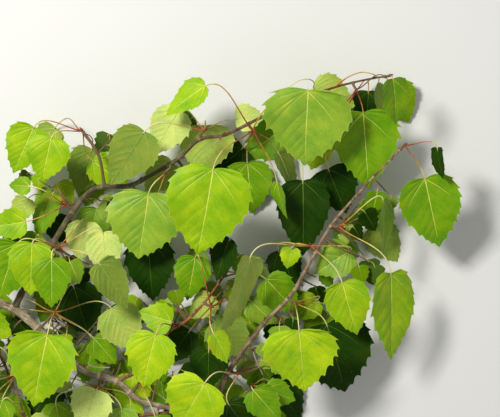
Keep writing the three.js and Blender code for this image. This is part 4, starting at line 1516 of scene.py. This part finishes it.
SCAR_TURNS, FAINT_SCAR, FRESH_SCAR = 2.6, 0.04, 0.2
SPUR_FLARE, FLARE_FADE = 0.3, 12
shoots = []
for spur in spurs:
    curve, thick = spur["curve"], spur["thick"]
    steps = max(10, round(curve.length / 0.8))
    shares = np.linspace(0, 1, steps + 1)
    scars = np.maximum(0, np.sin(shares * curve.length * SCAR_TURNS + dice.random())) ** 3
    scars *= FAINT_SCAR + FRESH_SCAR * np.exp(-(1 - shares) * curve.length / 6)
    radii = thick * (1 + scars + SPUR_FLARE * np.exp(-shares * FLARE_FADE))
    points, radii = rooted(curve.along(shares), radii, 1.2)
    shoots.append(tube(points, radii, 10, [WOOD] * (steps + 1)))
    near, end = curve.along([0.9, 1])
    way = unit(end - near)
    shoots.append(bud(end - 0.5 * way, way, 5))
join_piece("short_shoots", shoots, wood_tones, [])

# %% Fine twigs
RINGS = 11
TWIG_RADIUS, TWIG_TAPER, TWIG_KNOT = 0.95, 0.45, 0.12
twigs = []
for spur in spurs:
    for line, used in spur["twigs"]:
        knots = TWIG_KNOT * (np.arange(RINGS) % 2)
        radii = TWIG_RADIUS - TWIG_TAPER * np.linspace(0, 1, RINGS) + knots
        points, radii = rooted(line.at(np.linspace(0, used, RINGS)), radii, 1)
        twigs.append(tube(points, radii, 6, [WOOD] * RINGS))
        near, end = line.at([used - 0.05, used])
        twigs.append(bud(end, unit(end - near), 3))
join_piece("fine_twigs", twigs, wood_tones, [])

# %% [markdown]
# ## Buds and dead twigs on the limbs
#
# Between two spurs a limb shows where leaves of earlier years stood: a slight ring, a scar, and
# above it a bud that lies close to the bark, left and right in turn. Here and there a thin twig
# has died and has bleached. Each place is found along the limb's line, so that buds and rings
# meet, and the same tubes make them.

# %% Places along each limb where buds and side growth sit
NODE_STEP, NODE_ROOM = 23, 9
DEAD_TWIGS = [
    ("main_stem", (-170, -162), (-141, -160, 43), 1.0),
    ("right_bough", (-2, -138), (13, -168, 34), 0.8),
    ("main_stem", (-92, -199), (-96, -214, 33), 1.1),
    ("upper_bough", (-30, 73), (-38, 62, 66), 0.8),
]
joints_on = {name: [] for name in LIMBS}
for limb, foot in [spur[1:3] for spur in SPURS] + [line[:2] for line in LIMBS.values() if line[0]]:
    joints_on[limb].append(nearest(limbs[limb], foot)[3] * limbs[limb][0].length)
nodes_on = {}
for name, joints in joints_on.items():
    steps = np.arange(12, limb_lines[name].length - 8, NODE_STEP)
    places = steps + 5 * (dice.random(len(steps)) - 0.5)
    nodes_on[name] = [p for p in places if min([abs(p - j) for j in joints] + [99]) > NODE_ROOM]
print({name: len(at) for name, at in nodes_on.items()}, "buds on the limbs")

# %% The buds and the dead twigs
SUNK = 0.85
DEAD_FLARE = 0.4
small_wood = []
for name, places in nodes_on.items():
    line = limb_lines[name]
    for number, at in enumerate(places):
        share = at / line.length
        here, near = line.along([share, share - 0.004])
        way = unit(here - near)
        side = unit(np.cross(way, (0, 0, 1))) * (1 if number % 2 else -1)
        side = unit(side + np.array([0, 0, 0.9 * dice.random()]))
        foot = here + side * SUNK * radius_at(LIMBS[name][2], share)
        small_wood.append(bud(foot, unit(way + 0.45 * side), 2.6 + dice.random()))
for limb, foot, tip, thick in DEAD_TWIGS:
    centre, direction, radius, _ = nearest(limbs[limb], foot)
    out = away_from(centre, direction, tip)
    middle = (centre + out * 3 + tip) / 2 + (0, 0, 1.5)
    line = Spline([centre + out * radius, centre + out * (radius + 3), middle, tip])
    shares = np.linspace(0, 1, 15)
    knots = TWIG_KNOT * (np.arange(15) % 5 == 2)
    radii = thick * (1 - TWIG_TAPER * shares + knots + DEAD_FLARE * np.exp(-shares * FLARE_FADE))
    points, radii = rooted(line.along(shares), radii, 1)
    small_wood.append(tube(points, radii, 8, [WOOD] * 4 + [DEAD] * 11))
join_piece("buds_and_dead_twigs", small_wood, wood_tones, [])

# %% [markdown]
# ## The limbs and their bark
#
# Young poplar bark is smooth and grey-brown, with small raised pores across the stem, faint
# wrinkles along it, and a ring and a swelling wherever a spur or another limb leaves. A limb is a
# bevelled curve first: that gives a round, tapering tube with no twist. It is then made a mesh, its
# cut end is inset and sunk a little inside its rim of bark, and the tube is subdivided. Last,
# each point is moved in or out by the bark's relief, which reads how far along the limb the point
# lies and at which angle round it, so the relief closes on itself without a seam.

# %% A limb as a bevelled curve, made a mesh
BARK_STEP = 3.0
FLARE = 0.28


def draw_limb(name):
    """A round tapering tube along the limb's line. A side limb is flared and rooted at its foot."""
    line, radius = limb_lines[name], LIMBS[name][2]
    shares = np.linspace(0, 1, round(line.length / BARK_STEP) + 1)
    places, sizes = line.along(shares), radius_at(radius, shares)
    if LIMBS[name][0]:
        sizes *= 1 + FLARE * np.exp(-shares * line.length / (1.5 * radius[0]))
        back = unit(places[0] - places[1])
        places = np.vstack([places[0] + 2.0 * back, places[0] + 1.0 * back, places])
        sizes = np.concatenate([[0.5 * sizes[0], 0.92 * sizes[0]], sizes])
    places = to_frame(places)
    bpy.ops.object.select_all(action="DESELECT")
    bpy.ops.curve.primitive_nurbs_path_add(location=(0, 0, 0))
    limb = bpy.context.object
    limb.name = name + "_bark"
    curve = limb.data
    curve.splines.clear()
    spline = curve.splines.new("POLY")
    spline.points.add(len(places) - 1)
    for point, place, size in zip(spline.points, places, sizes):
        point.co = (*place, 1)
        point.radius = size
    curve.bevel_depth = MM
    curve.bevel_resolution = 4
    curve.use_fill_caps = True
    bpy.ops.object.convert(target="MESH")
    limb.data.name = limb.name
    bpy.ops.object.mode_set(mode="EDIT")
    bpy.ops.mesh.select_all(action="SELECT")
    bpy.ops.mesh.remove_doubles(threshold=0.02 * MM)
    bpy.ops.mesh.normals_make_consistent(inside=False)
    bpy.ops.mesh.select_all(action="DESELECT")
    bpy.ops.object.mode_set(mode="OBJECT")
    return limb


# %% The cut end: the flat cap is made one face, inset for the bark's rim, and sunk a little
RIM, RIM_SLOPE, SUNK_WOOD, WOOD_RING = 0.5 * MM, 0.15 * MM, 0.2 * MM, 1.2 * MM


def end_faces(limb, line, reach, facing):
    """The faces within reach of the limb's cut end that look outwards there."""
    place, inner = (Vector(end) for end in to_frame(line.along([0, 0.01])))
    way = (place - inner).normalized()
    return [face for face in limb.data.polygons
            if (face.center - place).length < reach * MM and face.normal.dot(way) > facing]


def sink_cut_end(limb, line):
    found = end_faces(limb, line, 8, 0.9)
    limb.data.polygons.foreach_set("select", [False] * len(limb.data.polygons))
    for face in found:
        face.select = True
    count = len(found)
    bpy.ops.object.mode_set(mode="EDIT")
    bpy.ops.mesh.select_mode(type="FACE")
    bpy.ops.mesh.dissolve_faces()
    for thickness, depth in ((RIM, 0), (RIM_SLOPE, -SUNK_WOOD), (WOOD_RING, 0), (WOOD_RING, 0)):
        bpy.ops.mesh.inset(thickness=thickness, depth=depth)
    bpy.ops.mesh.poke()
    bpy.ops.object.mode_set(mode="OBJECT")
    print(limb.name, "is cut across", count, "faces")


# %% Where each point of a limb lies along it and round it
def round_and_along(line, points):
    """How far along the line each point lies, its angle and distance, and the way out from it."""
    shares = np.linspace(0, 1, round(line.length) + 1)
    path = line.along(shares)
    best = np.zeros(len(points), int)
    for first in range(0, len(points), 4000):
        part = points[first:first + 4000]
        best[first:first + 4000] = ((part[:, None] - path) ** 2).sum(axis=2).argmin(axis=1)
    ways = unit_rows(np.gradient(path, axis=0))
    side = unit_rows(np.cross(ways, (0, 0, 1)))
    up = np.cross(side, ways)
    out = points - path[best]
    ahead = (out * ways[best]).sum(axis=1)
    out -= ways[best] * ahead[:, None]
    angle = np.arctan2((out * up[best]).sum(axis=1), (out * side[best]).sum(axis=1))
    return shares[best] * line.length + ahead, angle, np.linalg.norm(out, axis=1), out


# %% The wrinkles of the bark
WAVES = ((5, 0.020), (9, 0.014), (16, 0.010))


def wrinkles(along, angle, thick):
    """Low waves round the limb that drift along it."""
    move = np.zeros(len(along))
    for waves, share in WAVES:
        drift = 0.9 * np.sin(along / (6 + 3 * dice.random()) + 6 * dice.random())
        move += share * thick * np.sin(waves * angle + drift + 6 * dice.random())
    return move + 0.03 * thick * np.sin(along / 9 + 2 * dice.random()) * np.sin(angle + along / 23)


# %% Its pores, rings and knots
RING_PLACES, RING_WIDTH = (-3.2, -2.4, -1.6), 0.45
FAINT = 0.6
PORES_PER_MM2 = 0.16
PORE_LENGTH, PORE_WIDTH = 0.5, 0.95


def marks_of(name, along, angle, thick):
    """How much of a pore, a ring and a knot each point is, and the count of pores."""
    pore, ring, knot = np.zeros((3, len(along)))
    for at in [*joints_on[name], *nodes_on[name]]:
        share = 1 if at in joints_on[name] else FAINT
        knot += share * np.exp(-(((along - at) / (1.1 * thick + 1)) ** 2))
        for step in RING_PLACES:
            off = along - at - step * (0.5 + 0.2 * thick)
            ring += share * np.exp(-((off / RING_WIDTH) ** 2))
    length = limb_lines[name].length
    pores = int(length * thick.mean() * PORES_PER_MM2)
    for _ in range(pores):
        at, turn = length * dice.random(), 2 * np.pi * dice.random()
        around = np.angle(np.exp(1j * (angle - turn))) * thick
        pore += np.exp(-(((along - at) / PORE_LENGTH) ** 2) - (around / PORE_WIDTH) ** 2)
    return pore, ring, knot, pores


# %% The relief of the bark
KNOT_HEIGHT, RING_HEIGHT, PORE_HEIGHT = 0.20, 0.10, 0.16


def bark_relief(limb, name):
    """Moves each point of a limb in or out, by where it lies along and round the limb."""
    mesh = limb.data
    flat = np.empty(len(mesh.vertices) * 3)
    mesh.vertices.foreach_get("co", flat)
    points = flat.reshape(-1, 3) / MM - MOVE
    along, angle, size, out = round_and_along(limb_lines[name], points)
    thick = radius_at(LIMBS[name][2], along / limb_lines[name].length)
    move = wrinkles(along, angle, thick)
    pore, ring, knot, pores = marks_of(name, along, angle, thick)
    move += KNOT_HEIGHT * thick * knot + RING_HEIGHT * ring + PORE_HEIGHT * pore
    move[size < 0.9 * thick] = 0
    for label, values in (("bark_place", (size * np.cos(angle), size * np.sin(angle), along)),
                          ("bark_marks", (pore, ring, knot))):
        layer = mesh.attributes.new(label, "FLOAT_VECTOR", "POINT")
        layer.data.foreach_set("vector", np.stack(values, axis=1).ravel())
    points += out / np.maximum(size, 1e-6)[:, None] * move[:, None]
    mesh.vertices.foreach_set("co", to_frame(points).ravel())
    mesh.update()
    return pores


# %% [markdown]
# ## The colours of the bark
#
# The old end of the stem is grey-tan, the boughs are darker or redder, and young wood near a tip is
# red-brown. All of it is streaked along the limb, with pale pores and pale rings at the nodes. One
# group does this for every limb. It reads two attributes that the relief left on each point: where
# the point lies round and along its limb, so that streaks follow the bends, and how much of a pore,
# a ring or a knot it is, so that colour and relief fall together.

# %% The bark's group
STREAK_SCALE, BARK_PATCH_SCALE, GRAIN_SCALE = 0.8, 0.11, 2.2
STRETCH = (1, 1, 0.14)
skin, given, gives = new_group(
    "bark_skin",
    [("Colour", "Color", (0.3, 0.25, 0.2, 1)), ("Light Colour", "Color", (0.5, 0.45, 0.4, 1)),
     ("Dark Colour", "Color", (0.1, 0.08, 0.05, 1)),
     ("Young Colour", "Color", (0.2, 0.08, 0.03, 1)),
     ("Young From", "Float", 200.0), ("Young To", "Float", 300.0)],
    [("Colour", "Color"), ("Gloss", "Float"), ("Height", "Float")])
place = skin.add("Attribute", {}, attribute_name="bark_place").outputs["Vector"]
marks = skin.add("Attribute", {}, attribute_name="bark_marks").outputs["Vector"]
pore, ring, knot = skin.add("SeparateXYZ", {"Vector": marks}).outputs
long_place = skin.add("Mapping", {"Vector": place, "Scale": STRETCH}).outputs["Vector"]
streaks = skin.noise(long_place, STREAK_SCALE, 4)
patches = skin.noise(place, BARK_PATCH_SCALE, 3)
grain = skin.noise(place, GRAIN_SCALE, 3)
along = skin.add("SeparateXYZ", {"Vector": place}).outputs["Z"]
drift = skin.math("MULTIPLY_ADD", patches, 60, along)
youth = skin.range(drift, given["Young From"], given["Young To"])
colour = skin.blend(youth, given["Colour"], given["Young Colour"])
for mask, low, high, most, tone in (
        (patches, 0.42, 0.66, 0.8, "Light Colour"), (streaks, 0.5, 0.68, 0.85, "Dark Colour"),
        (grain, 0.55, 0.75, 0.4, "Light Colour"), (knot, 0.4, 1.1, 0.55, "Dark Colour")):
    colour = skin.blend(skin.range(mask, low, high, 0, most), colour, given[tone])
pale = skin.math("MAXIMUM", skin.range(pore, 0.3, 0.8, 0, 0.9), skin.range(ring, 0.4, 0.9, 0, 0.8))
skin.give(gives["Colour"], skin.blend(pale, colour, given["Light Colour"]))
skin.give(gives["Gloss"], streaks)
skin.give(gives["Height"], skin.math("MULTIPLY_ADD", streaks, 1.5, grain))
bark_skin = skin.tree
print("group", bark_skin.name, "has", len(bark_skin.nodes), "nodes")

# %% One material for each limb: its colour, light, dark, young wood, and where that begins and ends
BARKS = {
    "main_stem": ((144, 128, 104), (196, 180, 152), (88, 74, 58), (120, 96, 74), 330, 400),
    # The upper bough is darker, partly its own bark and partly a painted shade of the leaves over
    # it.
    "upper_bough": ((88, 78, 54), (130, 120, 90), (52, 44, 32), (116, 50, 26), 270, 420),
    "middle_bough": ((132, 106, 70), (178, 146, 100), (92, 60, 38), (148, 58, 28), 40, 100),
    "right_bough": ((138, 110, 88), (198, 174, 146), (82, 62, 50), (118, 66, 42), 220, 360),
    "low_twig": ((136, 76, 46), (170, 120, 84), (88, 46, 30), (142, 66, 36), 60, 120),
    "left_bough": ((114, 90, 64), (160, 138, 104), (70, 54, 40), (126, 64, 38), 90, 180),
}


def bark_material(name, *tones, young_from, young_to):
    labels = ("Colour", "Light Colour", "Dark Colour", "Young Colour")
    values = {label: linear(tone) for label, tone in zip(labels, tones)}
    values.update({"Young From": young_from, "Young To": young_to})
    return material_of(name, bark_skin, values, 0.3, (0.3, 0.7, 0.62, 0.85), 0.6, 0.6 * MM)


barks = {name: bark_material("bark_of_" + name, *tones, young_from=first, young_to=last)
         for name, (*tones, first, last) in BARKS.items()}
print("barks:", list(barks))

# %% The wood of the cut end: rings round the pith, by the distance from the limb's middle
PALE_WOOD, DARK_WOOD, PITH = (214, 196, 150), (176, 148, 100), (120, 84, 50)
RING_ANGLE_PER_MM = 6.3
cut_wood, nodes, shader = new_material("cut_wood")
place = nodes.add("Attribute", {}, attribute_name="bark_place").outputs["Vector"]
across = nodes.add("VectorMath", {0: place, 1: (1, 1, 0)}, operation="MULTIPLY").outputs[0]
depth = nodes.add("VectorMath", {0: across}, operation="LENGTH").outputs["Value"]
fibres = nodes.noise(place, 1.6, 4)
rings = nodes.math("MULTIPLY", nodes.math("MULTIPLY_ADD", fibres, 0.5, depth), RING_ANGLE_PER_MM)
rings = nodes.range(nodes.math("SINE", rings), 0.1, 0.95, 0, 0.7)
wood = nodes.blend(rings, linear(PALE_WOOD), linear(DARK_WOOD))
wood = nodes.blend(nodes.range(depth, 0.9, 0.5), wood, linear(PITH))
bump = nodes.add("Bump", {"Strength": 0.4, "Distance": 0.3 * MM, "Height": fibres})
nodes.give(shader["Base Color"], wood)
nodes.give(shader["Roughness"], nodes.range(fibres, 0.3, 0.7, 0.6, 0.85))
nodes.give(shader["Normal"], bump.outputs["Normal"])


# %% Give it to the faces inside the bark's rim
def paint_cut(limb, name):
    """Gives the wood to the faces inside the bark's rim at the butt."""
    limb.data.materials.append(cut_wood)
    found = end_faces(limb, limb_lines[name], LIMBS[name][2][0] - RIM / MM, 0.6)
    for face in found:
        face.material_index = 1
    print("faces of cut wood:", len(found))


# %% Make the limbs
BARK_SMOOTH_BELOW = math.radians(50)
for name in LIMBS:
    limb = draw_limb(name)
    if name == "main_stem":
        sink_cut_end(limb, limb_lines[name])
    bpy.ops.object.modifier_add(type="SUBSURF")
    finer = limb.modifiers[-1]
    finer.levels = finer.render_levels = 2
    bpy.ops.object.modifier_apply(modifier=finer.name)
    pores = bark_relief(limb, name)
    bpy.ops.object.shade_smooth_by_angle(angle=BARK_SMOOTH_BELOW)
    limb.data.materials.clear()
    limb.data.materials.append(barks[name])
    if name == "main_stem":
        paint_cut(limb, name)
    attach(limb, "root")
    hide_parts(name)
    print(limb.name, len(limb.data.polygons), "faces,", pores, "pores")
